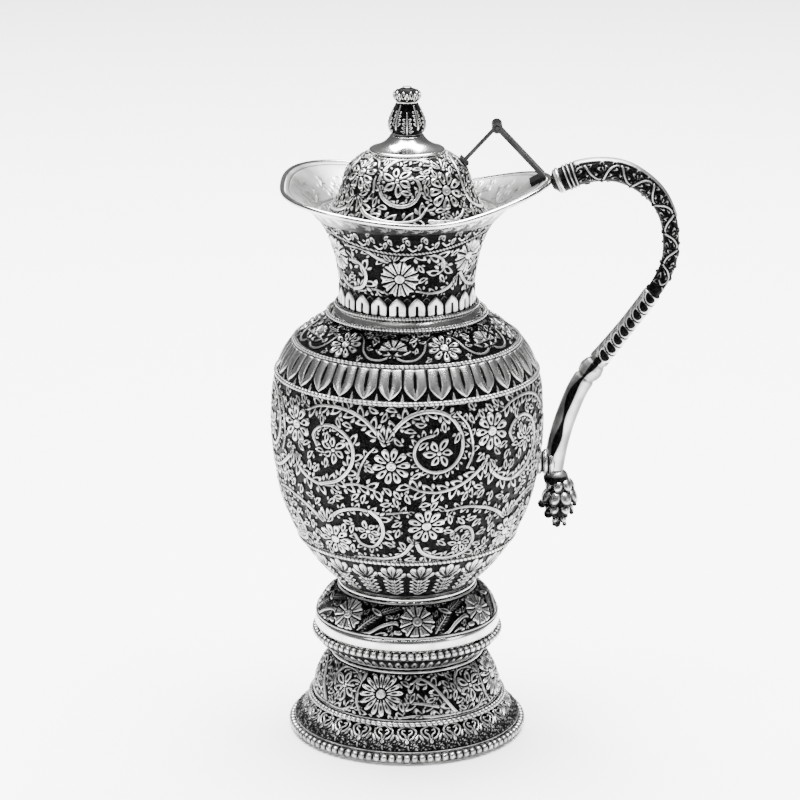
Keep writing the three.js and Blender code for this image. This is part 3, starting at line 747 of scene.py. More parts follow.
# %% Twisted and beaded wires
def twisted_ring(name, radius, level, wire, strands, nodes=(), facets=8, steps_per=5):
    """A ring of twisted wire, with strands humps round the ring."""
    bm = bmesh.new()
    bmesh.ops.create_circle(bm, segments=facets, radius=wire * MM)
    bmesh.ops.rotate(bm, verts=bm.verts, matrix=Matrix.Rotation(math.pi / 2, 3, "X"))
    bmesh.ops.translate(bm, verts=bm.verts, vec=(radius * MM, 0, level * MM))
    steps = strands * steps_per
    bmesh.ops.spin(bm, geom=list(bm.verts) + list(bm.edges), cent=(0, 0, 0), axis=(0, 0, 1),
                   angle=2 * math.pi, steps=steps, use_merge=True, use_duplicate=False)
    bmesh.ops.recalc_face_normals(bm, faces=bm.faces)
    mesh = mesh_from(bm, name)
    co = coordinates(mesh)
    around = np.arctan2(co[:, 1], co[:, 0])
    out = np.hypot(co[:, 0], co[:, 1]) / MM - radius
    up = co[:, 2] / MM - level
    turn = np.arctan2(up, out)
    hump = np.abs(np.sin((turn + around * strands) / 2))
    size = wire * (0.66 + 0.4 * hump ** 0.7) / np.maximum(np.hypot(out, up), 1e-9)
    move_to(mesh, np.column_stack([np.cos(around) * (radius + out * size),
                                   np.sin(around) * (radius + out * size),
                                   level + up * size]) * MM)
    give_tone(mesh, hump ** 0.6)
    return piece(name, mesh, chased_silver, "pitcher", "chased_silver", *nodes)


def bead_ring(name, radius, level, bead, count, nodes=(), facets=(10, 7)):
    """Round beads in a row."""
    bm = bmesh.new()
    for k in range(count):
        a = 2 * math.pi * k / count
        made = bmesh.ops.create_uvsphere(bm, u_segments=facets[0], v_segments=facets[1],
                                         radius=bead * MM)
        bmesh.ops.scale(bm, verts=made["verts"], vec=(1.0, 1.08, 1.0))
        bmesh.ops.rotate(bm, verts=made["verts"], matrix=Matrix.Rotation(a, 3, "Z"))
        bmesh.ops.translate(bm, verts=made["verts"],
                            vec=(radius * MM * math.cos(a), radius * MM * math.sin(a), level * MM))
    mesh = mesh_from(bm, name)
    co = coordinates(mesh) / MM
    turn = np.arctan2(co[:, 1], co[:, 0]) * count / (2 * math.pi)
    aside = np.abs(turn - np.round(turn)) * 2
    out = np.hypot(np.hypot(co[:, 0], co[:, 1]) - radius, co[:, 2] - level) / bead
    give_tone(mesh, np.clip(1.35 - aside * 1.3, 0, 1) * np.clip(0.4 + out, 0, 1))
    return piece(name, mesh, chased_silver, "pitcher", "chased_silver", *nodes)


def at_length(outline, s):
    run = distances(outline)
    return np.interp(s, run, outline[:, 0]), np.interp(s, run, outline[:, 1])


belly = belly_sheet()
belly_outline = part_of(body_outline, belly_from, belly_to)
first = math.radians(-152)
panel = chased_band("belly_scrolls_0", belly_outline, belly, 4, first, cell=0.4,
                    sweep=math.pi / 2, start=first)
for quarter in (1, 2, 3):
    copied = panel.data.copy()
    copied.transform(Matrix.Rotation(quarter * math.pi / 2, 4, "Z"))
    copied.materials.clear()
    piece(f"belly_scrolls_{quarter}", copied, chased_silver, "pitcher", "chased_silver")
for name, s, wire, count in (("low", 32.3, 1.15, 150), ("high", 118.6, 1.15, 165),
                             ("top", 137.2, 1.0, 150)):
    r, z = at_length(body_outline, s)
    twisted_ring(f"body_rope_{name}", float(r), float(z), wire, count)

# %% [markdown]
# Above the belly stands a row of long pointed petals, with their points down and a dark
# slot down the middle of each. Below it is a row of palmettes, each a fan of petals over
# a feathered stalk.

# %% Rows of petals on the body
def petal_row_sheet():
    outline = part_of(body_outline, 119.7, 136.0)
    width, length = 2 * math.pi * 66.6 / 32, 16.3
    sheet = Sheet(width, length, stretch_of(outline, 32, width), cell=0.1)
    x, y = sheet.grid()
    off = np.abs(x % width - width / 2)
    point = 7.0
    half = (width / 2 - 0.55) * (1 - np.clip(1 - (y - 0.4) / point, 0, 1) ** 1.7) + 0 * x
    inside = np.minimum(half - off, np.minimum(y - 0.5, length - 0.3 - y))
    body = soft(inside)
    ridge = np.clip(1 - np.abs(off / (half + 0.1) - 0.55) / 0.55, 0, 1)
    sheet.rise = body * (0.35 + 0.75 * np.sqrt(ridge))
    dark = 0.95 * np.clip((y - 3.6) / 4, 0, 1) * np.clip((length - 1.2 - y) / 3, 0.35, 1)
    slot = soft(np.minimum(dark - off, np.minimum(y - 3.8, length - 1.8 - y)), 0.35)
    sheet.rise *= 1 - 0.7 * slot
    sheet.tone = body * (1 - 0.97 * slot)
    rest = np.minimum(1.1 * np.clip(1 - y / 4.2, 0, 1) - np.abs(off - width / 2), 1.4 - y * 0.3)
    dart = soft(rest)
    sheet.add(dart * 0.7, dart)
    return sheet, outline


petals, petal_outline = petal_row_sheet()
chased_band("shoulder_petals", petal_outline, petals, 32, math.radians(-103.2), cell=0.45)


def palmette_sheet():
    outline = part_of(body_outline, 0.6, 31.2)
    width, length = 2 * math.pi * 51 / 22, 30.0
    sheet = Sheet(width, length, stretch_of(outline, 22, width), cell=0.15)
    middle = width / 2
    for tier in range(5):
        y = 3.0 + 3.1 * tier
        for side in (1, -1):
            leaf(sheet, middle + side * 0.2, y, math.pi / 2 - side * 0.75, 6.0 + 0.4 * tier, 3.0,
                 bend=side * 1.1, slot=0.3, moat=0.3, fat=0.9)
    for k, size in ((2, 8.4), (-2, 8.4), (1, 10.2), (-1, 10.2), (0, 10.8)):
        leaf(sheet, middle, 18.6, math.pi / 2 - k * 0.44, size, 4.0, fat=2.1, slot=0.16,
             moat=0.55)
    return sheet, outline


palmettes, palmette_outline = palmette_sheet()
chased_band("body_palmettes", palmette_outline, palmettes, 22, math.radians(-98.5 - 8.18),
            cell=0.42)

# %% [markdown]
# The shoulder carries six repeats of a daisy and a half flower over almond leaves,
# joined by garlands.

# %% Band on the shoulder
def shoulder_sheet():
    outline = part_of(body_outline, 138.4, 158.8)
    width, length = 2 * math.pi * 58 / 6, 20.4
    sheet = Sheet(width, length, stretch_of(outline, 6, width))
    half = width / 2
    for side in (1, -1):
        garland = spline([(side * 1.0, 4.2), (side * 7, 1.9), (side * 13, 2.8), (side * 17.5, 7),
                          (side * 20, 12.5), (side * 25, 16.4), (side * 30.3, 17.4)])
        stem(sheet, garland, 1.5, 1.2, groove=0.3, moat=0.5)
        leaf(sheet, side * 12.2, 9.6, math.pi / 2 - side * 0.3, 7.0, 3.2, bend=side * 0.8)
        leaf(sheet, side * 9.4, 12.4, math.pi / 2 - side * 0.9, 6.2, 3.0, bend=side * 0.8)
        leaf(sheet, side * 21.5, 3.0, math.pi / 2 - side * 0.5, 6.0, 2.8, bend=-side * 0.6)
    flower(sheet, half, 8.8, 8.4, 10, 0.2)
    for side in (1, -1):
        leaf(sheet, 0.5 * side, 4.6, math.pi / 2 - side * 1.2, 9.4, 4.4, bend=side * 0.6, slot=0.5)
    flower(sheet, 0, 8.0, 7.4, 9, math.pi / 2, half=True, heart=True)
    fill_ground(sheet, 14, size=4.6, bare=0.05, seed=8)
    return sheet, outline


shoulders, shoulder_outline = shoulder_sheet()
chased_band("shoulder_flowers", shoulder_outline, shoulders, 6, math.radians(-158), cell=0.42)

# %% [markdown]
# The neck is chased in three zones: pointed arches round its root, flowers on stems in
# the middle, and a rope that rises and falls under the lip with a wave of leaves above.

# %% Neck
low, high = mm_box("neck_shell")
neck_level, mouth_level = low[2], high[2]
neck_height = mouth_level - neck_level
mouth_radius = 44.5
neck_outline = curve((33.4, neck_level), (31.8, neck_level + 0.48 * neck_height),
                     (mouth_radius - 5.7, neck_level + 0.86 * neck_height),
                     (mouth_radius, mouth_level))


def arch_row(sheet, count, height, first=0.0, foot=0.5):
    """Pointed arches side by side, each with a dark slot, and a thin one between each two."""
    pitch = sheet.width / count
    x, y = sheet.grid()

    def arch(off, half_width, top):
        lift = np.clip((y - foot - 0.5 * height) / (top - 0.5 * height), 0, 1)
        return np.minimum(half_width * (1 - lift ** 1.8) - off, np.minimum(y - foot, top - y + foot))

    off = np.abs((x - first + pitch / 2) % pitch - pitch / 2)
    between = np.abs((x - first) % pitch - pitch / 2)
    low = soft(height + 0.8 - y)
    sheet.wipe(low)
    behind = arch(between, 0.40 * pitch, height)
    line = soft(0.42 - np.abs(behind - 0.4), 0.3)
    front = arch(off, 0.44 * pitch, height)
    gap = soft(front + 0.45)
    body = soft(front)
    slot = soft(np.minimum(0.75 - off, 0.62 * height - y), 0.35)
    rise = np.maximum(line * 0.6 * (1 - gap), body * (0.5 + 0.5 * np.sqrt(np.clip(front / 2, 0, 1))))
    sheet.add(rise * (1 - 0.75 * slot * body),
              np.maximum(line * (1 - gap), body * (1 - 0.96 * slot)))


def border_line(sheet, level_at, thickness=0.9, step=0.35, moat=0.3, groove=0):
    """A raised line right round a band, at one height or at level_at(x)."""
    xs = np.arange(0, sheet.width, step)
    level = level_at(xs) if callable(level_at) else np.full(len(xs), level_at)
    stem(sheet, np.column_stack([xs, level]), thickness, thickness, 0.85, groove, moat)


def neck_sheet():
    run = length_of(neck_outline)
    width = 2 * math.pi * 37
    sheet = Sheet(width, run, stretch_of(neck_outline, 1, width))
    deg = width / 360

    def saddle(x):
        return 38.6 + 4.6 * np.cos(2 * (x / width * 2 * math.pi - math.pi))

    def stem_at(first, points, **more):
        leafy_stem(sheet, [((a + 180 + first) * deg, y) for a, y in points], **more)

    for first in (0, 120, 240):
        stem_at(first, [(-101, 29), (-110, 34), (-122, 39), (-137, 44)], size=6.6)
        stem_at(first, [(-101, 29), (-112, 31), (-124, 35.5), (-140, 36)], size=6.0)
        stem_at(first, [(-96, 29), (-87, 33), (-73, 33.4), (-62, 30), (-60, 25), (-65, 22.5)])
        stem_at(first, [(-162, 21), (-152, 15), (-135, 12.6), (-118, 14.2), (-110, 13)])
        stem_at(first, [(-139, 12.8), (-129, 15), (-125, 21), (-130, 27), (-141, 27.5), (-146, 23)])
        stem_at(first, [(-44, 20.5), (-54, 14.6), (-68, 12.6), (-82, 14)], size=5.6)
        fan(sheet, (-101 + 180 + first) * deg, 29.5, math.radians(95), (8.5, 7), first=0.2)
        fan(sheet, (-43 + 180 + first) * deg, 20.5, math.radians(-90), (6.5, 5.5), first=0.2)
        flower(sheet, (-36 + 180 + first) * deg, 29.6, 9.2, 11, 0.2, heart=True)
        flower(sheet, (-96 + 180 + first) * deg, 20.4, 9.4, 12, 0.1, heart=True)
    fill_ground(sheet, 120, size=6.0, bare=0.11, seed=11)
    cols, rows = sheet.grid()
    above = soft(rows - saddle(cols) + 1.2)
    sheet.wipe(above)
    arch_row(sheet, 22, 10.2, (-98 + 180) * deg)
    border_line(sheet, saddle, 1.8, groove=0)
    twist = 0.5 + 0.5 * np.sin((cols + rows) * 2 * math.pi / 1.9)
    on_rope = soft(1.0 - np.abs(rows - saddle(cols)))
    sheet.tone *= 1 - 0.75 * on_rope * twist
    sheet.rise *= 1 - 0.35 * on_rope * twist
    for n in range(30):
        x = n * width / 30
        top = float(saddle(x))
        stem(sheet, spline([(x - 3.2, top + 3.6), (x - 1.2, top + 1.8), (x + 0.8, top + 3.4),
                            (x - 0.4, top + 5.0)], 0.25), 1.2, 1.0, groove=0)
        leaf(sheet, x + 1.6, top + 1.6, math.pi / 2 - 0.2, 5.0, 2.4, bend=0.3, slot=0.34)
        leaf(sheet, x - 2.6, top + 4.6, math.pi / 2 + 0.3, 5.0, 2.4, bend=0.3, slot=0.34)
        leaf(sheet, x + 2.0, top + 7.0, math.pi / 2 - 0.5, 4.6, 2.2, bend=0.3, slot=0.34)
    return sheet


neck_chasing = neck_sheet()
chased_band("neck", neck_outline, neck_chasing, 1, -math.pi, ("neck_shell",), wall=1.2, cell=0.4)
twisted_ring("neck_rope", 34.75, neck_level + 0.4, 1.0, 130, nodes=("neck_rope_ring",))
twisted_ring("shoulder_rope", 38.75, body_top + 1.1, 1.25, 140, nodes=("shoulder_rope_ring",))

# %% [markdown]
# The lid is a bell with a flat crown, chased all over: long-petalled flowers and rings
# of stem take turns, above a plain edge.

# %% Lid
low, high = mm_box("lid_shell")
lid_level, lid_radius = low[2], high[0]
crown_level = lid_level + 33.7
waist = (32.6, lid_level + 16.2)
lid_outline = np.vstack([
    curve((lid_radius, lid_level), (lid_radius - 0.8, lid_level + 3.8),
          (waist[0] + 1.2, waist[1] - 6.2), waist),
    curve(waist, (waist[0] - 3, crown_level - 10.2), (waist[0] - 0.5, crown_level - 7),
          (19, crown_level))[1:]])


def lid_sheet():
    run = length_of(lid_outline)
    width = math.pi * 31
    sheet = Sheet(width, run, stretch_of(lid_outline, 2, width))
    leafy_stem(sheet, [(3.2, 19), (9.2, 11.4), (17, 8.6), (26, 7.8), (33, 9.4), (37.5, 14.5)])
    leafy_stem(sheet, [(38, 8), (45, 7.2), (53, 8.8), (58.5, 14.5)], size=5.6)
    scroll(sheet, [(50.3, 33.5), (43.8, 39), (35.2, 41.8), (24.3, 41.6), (16.8, 36.5), (14.1, 28),
                   (17.3, 19.5), (24.3, 15.8), (31.4, 17.5), (35.2, 24), (33, 29), (28.8, 28.8)],
           (23.6, 28), size=8.2, turn=0.6, thick=2.3, thin=1.6, bare=0.66)
    leafy_stem(sheet, [(51.4, 33), (56, 37.5), (63, 38.5), (68, 35)], size=5.6)
    scroll(sheet, [(99.5, 18.5), (93, 10.8), (82, 8.2), (70, 10), (62.5, 17), (61, 27), (66, 36),
                   (76, 39), (84.5, 34.5), (85.5, 26.5), (80, 23)],
           (73.5, 26.6), size=7.8, turn=1.4, thick=2.3, thin=1.6, bare=0.5)
    leafy_stem(sheet, [(1, 40), (8, 38), (11, 30), (12, 22)], size=5.4)
    fan(sheet, 50.8, 33.6, math.radians(90), (7.5, 6.5), first=0.5)
    fan(sheet, 2.2, 19, math.radians(-90), (8.5, 7), first=0.3)
    flower(sheet, 1.1, 30.5, 8.8, 9, 0.2)
    flower(sheet, 48.7, 22.2, 9.6, 9, 0.35)
    fill_ground(sheet, 60, size=6.0, bare=0.11, seed=21)
    rows = sheet.grid()[1]
    edge = soft(3.4 - rows) + np.zeros((1, sheet.cols))
    sheet.rise = np.maximum(sheet.rise * (1 - edge), edge * 0.45)
    sheet.tone = np.maximum(sheet.tone * (1 - edge), edge)
    sheet.tone *= 1 - 0.9 * soft(0.25 - np.abs(rows - 3.6))
    return sheet


lid_chasing = lid_sheet()
lid_first = math.radians(-143)
chased_band("lid", lid_outline, lid_chasing, 2, lid_first, ("lid_shell",), wall=1.0, cell=0.38,
            body="lid")
roof = np.array([(2.4, crown_level + 0.2), (2.4, crown_level - 0.8), (19.2, crown_level - 1.0),
                 (19.0, crown_level)])
piece("lid_roof", spun("lid_roof", roof, 64), polished_silver, "lid", "polished_silver")
low, high = mm_box("lid_cap")
cap_foot = low[2]
cap_curve = np.array([(18.3, 0), (18.5, 0.5), (17.8, 1.1), (16.4, 1.5), (14.6, 2.2), (12.6, 3.2),
                      (10.8, 4.4), (9.5, 5.7), (8.6, 6.8), (8.2, 7.6)]) + (0, cap_foot)
cap_curve = spline(cap_curve, 0.5)
cap_profile = np.vstack([cap_curve, [(2.4, cap_foot + 7.6), (2.4, cap_foot + 6.6)],
                         (cap_curve - 0.9 * normals_of(cap_curve))[::-4]])
piece("lid_cap_dome", spun("lid_cap_dome", cap_profile, 96), polished_silver, "lid",
      "polished_silver", "lid_cap")

# %% [markdown]
# The foot stands on a beaded wire. Its skirt carries a row of looped scallops on a dark
# ground, speckled lower down, and the dome above it large daisies between leafy stems.

# %% Foot
low, high = mm_box("foot_skirt")
skirt_foot, skirt_top = low[2], high[2]
skirt_outline = spline([(55.6, skirt_foot), (57.0, skirt_foot + 2.4), (56.2, skirt_foot + 4.1),
                        (54.2, skirt_foot + 5.6), (52.4, skirt_foot + 7.2),
                        (50.6, skirt_foot + 9.3), (48.6, skirt_foot + 11.3),
                        (47.2, skirt_foot + 12.4), (46.9, skirt_top)], 0.4)


def skirt_sheet():
    run = length_of(skirt_outline)
    width = 2 * math.pi * 52 / 27
    sheet = Sheet(width, run, stretch_of(skirt_outline, 27, width), cell=0.1)
    middle, top = width / 2, run - 0.9
    half = width / 2
    arch = [(middle - 0.5, top - 7.6), (middle - 2.4, top - 7.2), (middle - 4.4, top - 5.0),
            (middle - 4.3, top - 2.4), (middle, top - 0.5), (middle + 4.3, top - 2.4),
            (middle + 4.4, top - 5.0), (middle + 2.4, top - 7.2), (middle + 0.5, top - 7.6)]
    stem(sheet, spline(arch, 0.25), 1.2, 1.2, groove=0, moat=0.3)
    for side in (1, -1):
        curl = [(middle + side * 0.4, top - 7.6), (middle + side * 0.9, top - 5.4),
                (middle + side * 2.5, top - 4.2), (middle + side * 2.3, top - 2.7),
                (middle + side * 1.0, top - 3.0)]
        stem(sheet, spline(curl, 0.2), 1.0, 0.9, groove=0, moat=0.2)
        leaf(sheet, middle + side * half, top - 4.6, -math.pi / 2 + side * 0.5, 4.6, 1.5, slot=0)
    leaf(sheet, middle, top - 7.4, -math.pi / 2, 3.0, 1.9, slot=0.3, moat=0.2)
    border_line(sheet, run - 0.5, 0.9, 0.2, groove=0)
    rows = sheet.grid()[1] + np.zeros((1, sheet.cols))
    rng = np.random.default_rng(61)
    stipple = rng.random((sheet.rows // 4 + 1, sheet.cols // 4 + 1)).repeat(4, 0).repeat(4, 1)
    grain = stipple[:sheet.rows, :sheet.cols] * soft(top - 6.6 - rows, 3.0)
    bare = 1 - np.clip(sheet.tone * 2, 0, 1)
    sheet.tone = np.maximum(sheet.tone, bare * 0.95 * grain)
    sheet.rise = np.maximum(sheet.rise, bare * 0.8 * grain)
    plain = soft(2.6 - rows)
    sheet.rise = np.maximum(sheet.rise * (1 - plain), plain * 0.75)
    sheet.tone = np.maximum(sheet.tone * (1 - plain), plain)
    sheet.tone *= 1 - 0.95 * soft(0.2 - np.abs(rows - 2.9))
    return sheet


chased_band("skirt", skirt_outline, skirt_sheet(), 27, math.radians(-96.7), ("foot_skirt",),
            cell=0.4)

low, high = mm_box("foot_dome")
dome_foot, foot_top = low[2], high[2]
dome_outline = np.vstack([
    [(46.9, dome_foot), (46.9, dome_foot + 0.9)],
    curve((47.6, dome_foot + 2.1), (46.1, dome_foot + 11.5), (43.9, foot_top - 8.2),
          (37.4, foot_top), 60)])


def foot_sheet():
    run = length_of(dome_outline)
    width = 2 * math.pi * 44.5 / 4
    sheet = Sheet(width, run, stretch_of(dome_outline, 4, width))
    leafy_stem(sheet, [(46.6, 3), (39, 7.2), (30, 9.8), (20.5, 10.8)], size=7.6, every=4.4)
    leafy_stem(sheet, [(46.6, 3), (41, 11), (35.5, 18.6), (29, 22.6), (23.5, 20)], size=7.6,
               every=4.4)
    leafy_stem(sheet, [(46.6, 2.6), (36, 2.9), (26, 4), (18, 3)], size=6.4, every=4.4)
    scroll(sheet, [(47, 2.8), (57, 2.6), (64, 6.2), (67.6, 13), (66, 20.4), (60, 24.4), (52, 24),
                   (48.2, 18.6), (50.5, 13.2)], (57.2, 15), size=8.4, turn=0.4, bare=0.6)
    leafy_stem(sheet, [(-2, 25), (-3, 18), (-4, 10), (-1, 3)], size=6.0)
    flower(sheet, 8.5, 14.5, 11.4, 16, 0.1, slot=0.34, gap=0.35, boss=0.16)
    fill_ground(sheet, 24, size=6.0, bare=0.1, seed=31)
    border_line(sheet, 1.3, 1.5, groove=0)
    border_line(sheet, run - 1.2, 1.6, groove=0)
    return sheet


chased_band("foot_dome_sheet", dome_outline, foot_sheet(), 4, math.radians(-118), ("foot_dome",),
            cell=0.4)
bead_ring("base_beads", 58.2, 3.5, 1.95, 96, nodes=("base_bead_ring",))
twisted_ring("foot_rope", 48.7, skirt_top + 0.2, 1.35, 110, nodes=("foot_rope_ring",))

# %% [markdown]
# The knop is a cushion between foot and body. Its underside has a row of leaves, its
# band is plain and polished over a row of beads, and its dome has seven large flowers.

# %% Knop
low, high = mm_box("knop_underside")
under_foot, under_top = low[2], high[2]
under_outline = curve((37.4, under_foot), (39.6, under_foot + 2), (44.4, under_top - 2.8),
                      (45.9, under_top), 60)


def under_sheet():
    run = length_of(under_outline)
    width = 2 * math.pi * 42 / 34
    sheet = Sheet(width, run, stretch_of(under_outline, 34, width), cell=0.12)
    leaf(sheet, 0, 1.0, math.pi / 2, run - 2.2, 3.4, slot=0.34, moat=0.3)
    leaf(sheet, width / 2, 1.4, math.pi / 2, run - 2.8, 2.6, slot=0.3, moat=0.3)
    border_line(sheet, 0.8, 1.2, 0.2)
    return sheet


chased_band("knop_leaves", under_outline, under_sheet(), 34, 0, ("knop_underside",), cell=0.42)

low, high = mm_box("knop_dome")
knop_foot, knop_top = low[2], high[2]
knop_outline = curve((46, knop_foot), (44.2, knop_foot + 5.6), (39.5, knop_top - 3.6),
                     (33.9, knop_top), 60)


def feather(sheet, points, size=3.6):
    """A long feathered leaf: short barbs close together on both sides of its rib."""
    path = spline(points)
    leafy(sheet, path, 0.85, size, start=1.2, stop=-0.4, lean=0.5, bend=0.3, width=0.34, slot=0,
          grow=0.6)
    stem(sheet, path, 1.0, 0.7, groove=0, moat=0.15)


def knop_sheet():
    run = length_of(knop_outline)
    width = 2 * math.pi * 42.5 / 7
    sheet = Sheet(width, run, stretch_of(knop_outline, 7, width))
    feather(sheet, [(7.6, 1.6), (12, 7.0), (19, 13.0), (29, 17.4)], 5.4)
    stem(sheet, spline([(8.0, 1.2), (14, 2.0), (20, 6.2), (26.5, 8.6), (30.4, 6.6), (29.8, 3.6),
                        (27.6, 3.8)]), 1.6, 2.4, groove=0.3)
    leaf(sheet, 12, 15.5, -0.5, 8.0, 3.0, slot=0.3)
    leaf(sheet, 17, 1.6, 0.15, 8.0, 2.6, slot=0.3)
    flower(sheet, 0, 9.2, 8.8, 10, 0.1, heart=True, boss=0.22)
    fill_ground(sheet, 10, size=4.4, bare=0.05, seed=41)
    border_line(sheet, 0.7, 1.2, groove=0)
    border_line(sheet, run - 0.8, 1.3, groove=0)
    return sheet


chased_band("knop_flowers", knop_outline, knop_sheet(), 7, math.radians(-83), ("knop_dome",),
            cell=0.4)

low, high = mm_box("knop_band")
band_foot, band_top = low[2], high[2]
band_curve = spline([(44.2, band_foot), (44.2, band_foot + 3.8), (45.2, band_foot + 4.4),
                     (46.1, band_foot + 5.2), (46.5, band_foot + 7.0), (46.4, band_foot + 9.0),
                     (45.9, band_top)], 0.5)
band_profile = np.vstack([band_curve, [(44.7, band_top), (43.0, band_foot + 4.2),
                                       (43.0, band_foot)]])
piece("knop_plain_band", spun("knop_plain_band", band_profile, 160), polished_silver, "pitcher",
      "polished_silver", "knop_band")
bead_ring("knop_beads", 46.3, band_foot + 2.1, 1.85, 78, nodes=("knop_bead_ring",))

# %% [markdown]
# Plain turned pieces join the stages: a collar under the body, a hollow collar at the
# root of the neck, and the ring of the foot. A soft edge on each keeps a highlight, as
# polishing does. The plate of the foot and the bezel of the lid are the frame's own.

# %% Plain collars and rings
low, high = mm_box("body_collar")
collar_foot = low[2]
collar_curve = spline([(33.4, collar_foot), (34.3, collar_foot + 0.4), (34.7, collar_foot + 1.2),
                       (34.3, collar_foot + 2.0), (33.4, collar_foot + 2.4)], 0.3)
piece("collar_under_body",
      spun("collar_under_body", np.vstack([collar_curve, [(31.7, collar_foot + 0.8),
                                                         (31.7, collar_foot)]]), 128),
      polished_silver, "pitcher", "polished_silver", "body_collar")
low, high = mm_box("neck_collar")
root, root_top = low[2], high[2]
hollow = curve((36.8, root), (36.2, root + 2.3), (34.5, root + 3.7), (33.5, root_top), 24)
piece("collar_under_neck",
      spun("collar_under_neck", np.vstack([hollow, (hollow - 1.2 * normals_of(hollow))[::-4]]), 128),
      polished_silver, "pitcher", "polished_silver", "neck_collar")
base_profile = np.array([(54.5, 0.1), (54.8, 0), (55.7, 0), (56.0, 0.3), (56.0, 3.6), (55.7, 4.0),
                         (54.8, 4.0), (54.5, 3.7)])
piece("base_rim", spun("base_rim", base_profile, 160), polished_silver, "pitcher",
      "polished_silver", "base_ring")

# %% [markdown]
# The brim is hammered thin and left satin inside, with light leaf engraving round the
# lid and a running scroll underneath. Seen from above, its edge is a wave: a lip in
# front, a heel at the back and a lobe on each side. It starts as a flat turned ring and
# is then pressed to that shape.

# %% Brim
def brim_edge(angle):
    """Radius of the brim's edge and its rise above the mouth."""
    wave = [np.cos(n * angle) for n in (1, 2, 3)]
    radius = mouth_radius + 18.7 - 2.9 * wave[0] + 3.3 * wave[1] + 7.3 * wave[2]
    return radius, 10.9 - 1.4 * wave[0] + 4.5 * wave[1] + 2.7 * wave[2]


def press_brim(angle, share, lift):
    """Place of a point of the brim, share of the way from the mouth to its edge."""
    edge, rise = brim_edge(angle)
    inside = mouth_radius + 0.5
    radius = inside + share * (edge - 2.9 - inside)
    slope = 1.2 * (1 - share) + 0.35
    level = mouth_level + 0.9 + rise * (1 - np.clip(1 - share, 0, None) ** 1.3)
    level = level + lift * np.hypot(1, slope)
    return np.column_stack([radius * np.cos(angle), radius * np.sin(angle), level])


def brim_sheet():
    width, length = 2 * math.pi * 52 / 12, 16.0
    sheet = Sheet(width, length, lambda y: 1.0, cell=0.15)
    for side in (1, -1):
        leafy_stem(sheet, [(width / 2, 0.8), (width / 2 + side * 6, 2.5),
                           (width / 2 + side * 9, 6.0), (width / 2 + side * 6.5, 9.2)],
                   1.2, 0.8, 3.6, every=2.3)
    for k in (-1, 0, 1):
        leaf(sheet, width / 2, 1.5, math.pi / 2 - k * 0.45, 6.5 - abs(k), 2.2, slot=0.3)
    return sheet


def wave_sheet():
    """A running scroll, forty times round the underside of the brim."""
    width = 2 * math.pi * 50 / 40
    sheet = Sheet(width, 14.0, cell=0.15)
    stem(sheet, spline([(0, 9.5), (2, 6.2), (4.4, 5.6), (6.0, 8.0), (4.6, 10.0), (3.2, 8.6)], 0.25),
         1.3, 1.0, groove=0)
    leaf(sheet, 6.6, 3.0, math.pi / 2, 6.0, 2.6, slot=0.34)
    leaf(sheet, 1.6, 2.2, 0.5, 5.0, 2.2, slot=0.34)
    return sheet


def make_brim():
    top = [(1 + k / 40, 0.5) for k in range(40, -1, -1)]
    under = [(1 + k / 10, -0.5) for k in range(11)]
    mesh = spun("brim_plate", np.array(under + top) * 10, 720)
    co = coordinates(mesh) / MM
    angle = np.arctan2(co[:, 1], co[:, 0])
    share = np.clip(np.hypot(co[:, 0], co[:, 1]) / 10 - 1, 0, 1)
    lift = co[:, 2] / 10
    sheet = brim_sheet()
    x = angle * 12 / (2 * math.pi) * sheet.width
    edge, _ = brim_edge(angle)
    y = share * np.minimum(edge - 2.9 - mouth_radius, 24)
    seen = np.where((lift > 0) & (y < 15.5) & (share < 0.8), 1.0, 0.0)
    work = read_sheet(softened(sheet.rise), x, np.minimum(y, 15.5), sheet.cell) * seen
    line = soft(0.02 - np.abs(share - 0.88), 0.02) * (lift > 0)
    move_to(mesh, press_brim(angle, share, lift * 1.2 + 0.22 * work - 0.25 * line) * MM)
    mark = read_sheet(softened(sheet.tone), x, np.minimum(y, 15.5), sheet.cell)
    waves = wave_sheet()
    wave_x = angle * 40 / (2 * math.pi) * waves.width
    wave_y = np.clip(share, 0, 0.99) * waves.height
    below = read_sheet(softened(waves.tone), wave_x, wave_y, waves.cell)
    bare = np.clip((0.86 - share) * 30, 0, 1)
    outline = np.clip(1 - np.abs(mark - 0.5) * 3.2, 0, 1) * seen
    shade = np.where(lift > 0, 1 - 0.7 * outline - 0.6 * line, 1 - (1 - below) * bare)
    give_tone(mesh, shade)
    mesh.attributes.remove(mesh.attributes["along"])
    return piece("brim_plate", mesh, satin_silver, "pitcher", "matte_silver", "brim")


def engraved_silver(name, bright, rough, dark=0.03):
    """Silver whose engraved lines, where tone falls, are blackened."""
    material = silver(name, bright, rough, bump=0.12, stain=0.16)
    nodes, links = material.node_tree.nodes, material.node_tree.links
    shader = nodes["Principled BSDF"]
    metal = shader.inputs["Base Color"].links[0].from_socket
    tone = nodes.new("ShaderNodeAttribute")
    tone.attribute_name = "tone"
    worn = ramp(nodes, links, tone.outputs["Fac"], [(0.35, 0.0), (0.9, 1.0)])
    mix = nodes.new("ShaderNodeMix")
    mix.data_type = "RGBA"
    links.new(worn, mix.inputs["Factor"])
    mix.inputs["A"].default_value = (dark, dark, dark, 1)
    links.new(metal, mix.inputs["B"])
    links.new(mix.outputs["Result"], shader.inputs["Base Color"])
    return material


satin_silver = engraved_silver("satin silver", 0.56, (0.3, 0.42))
make_brim()

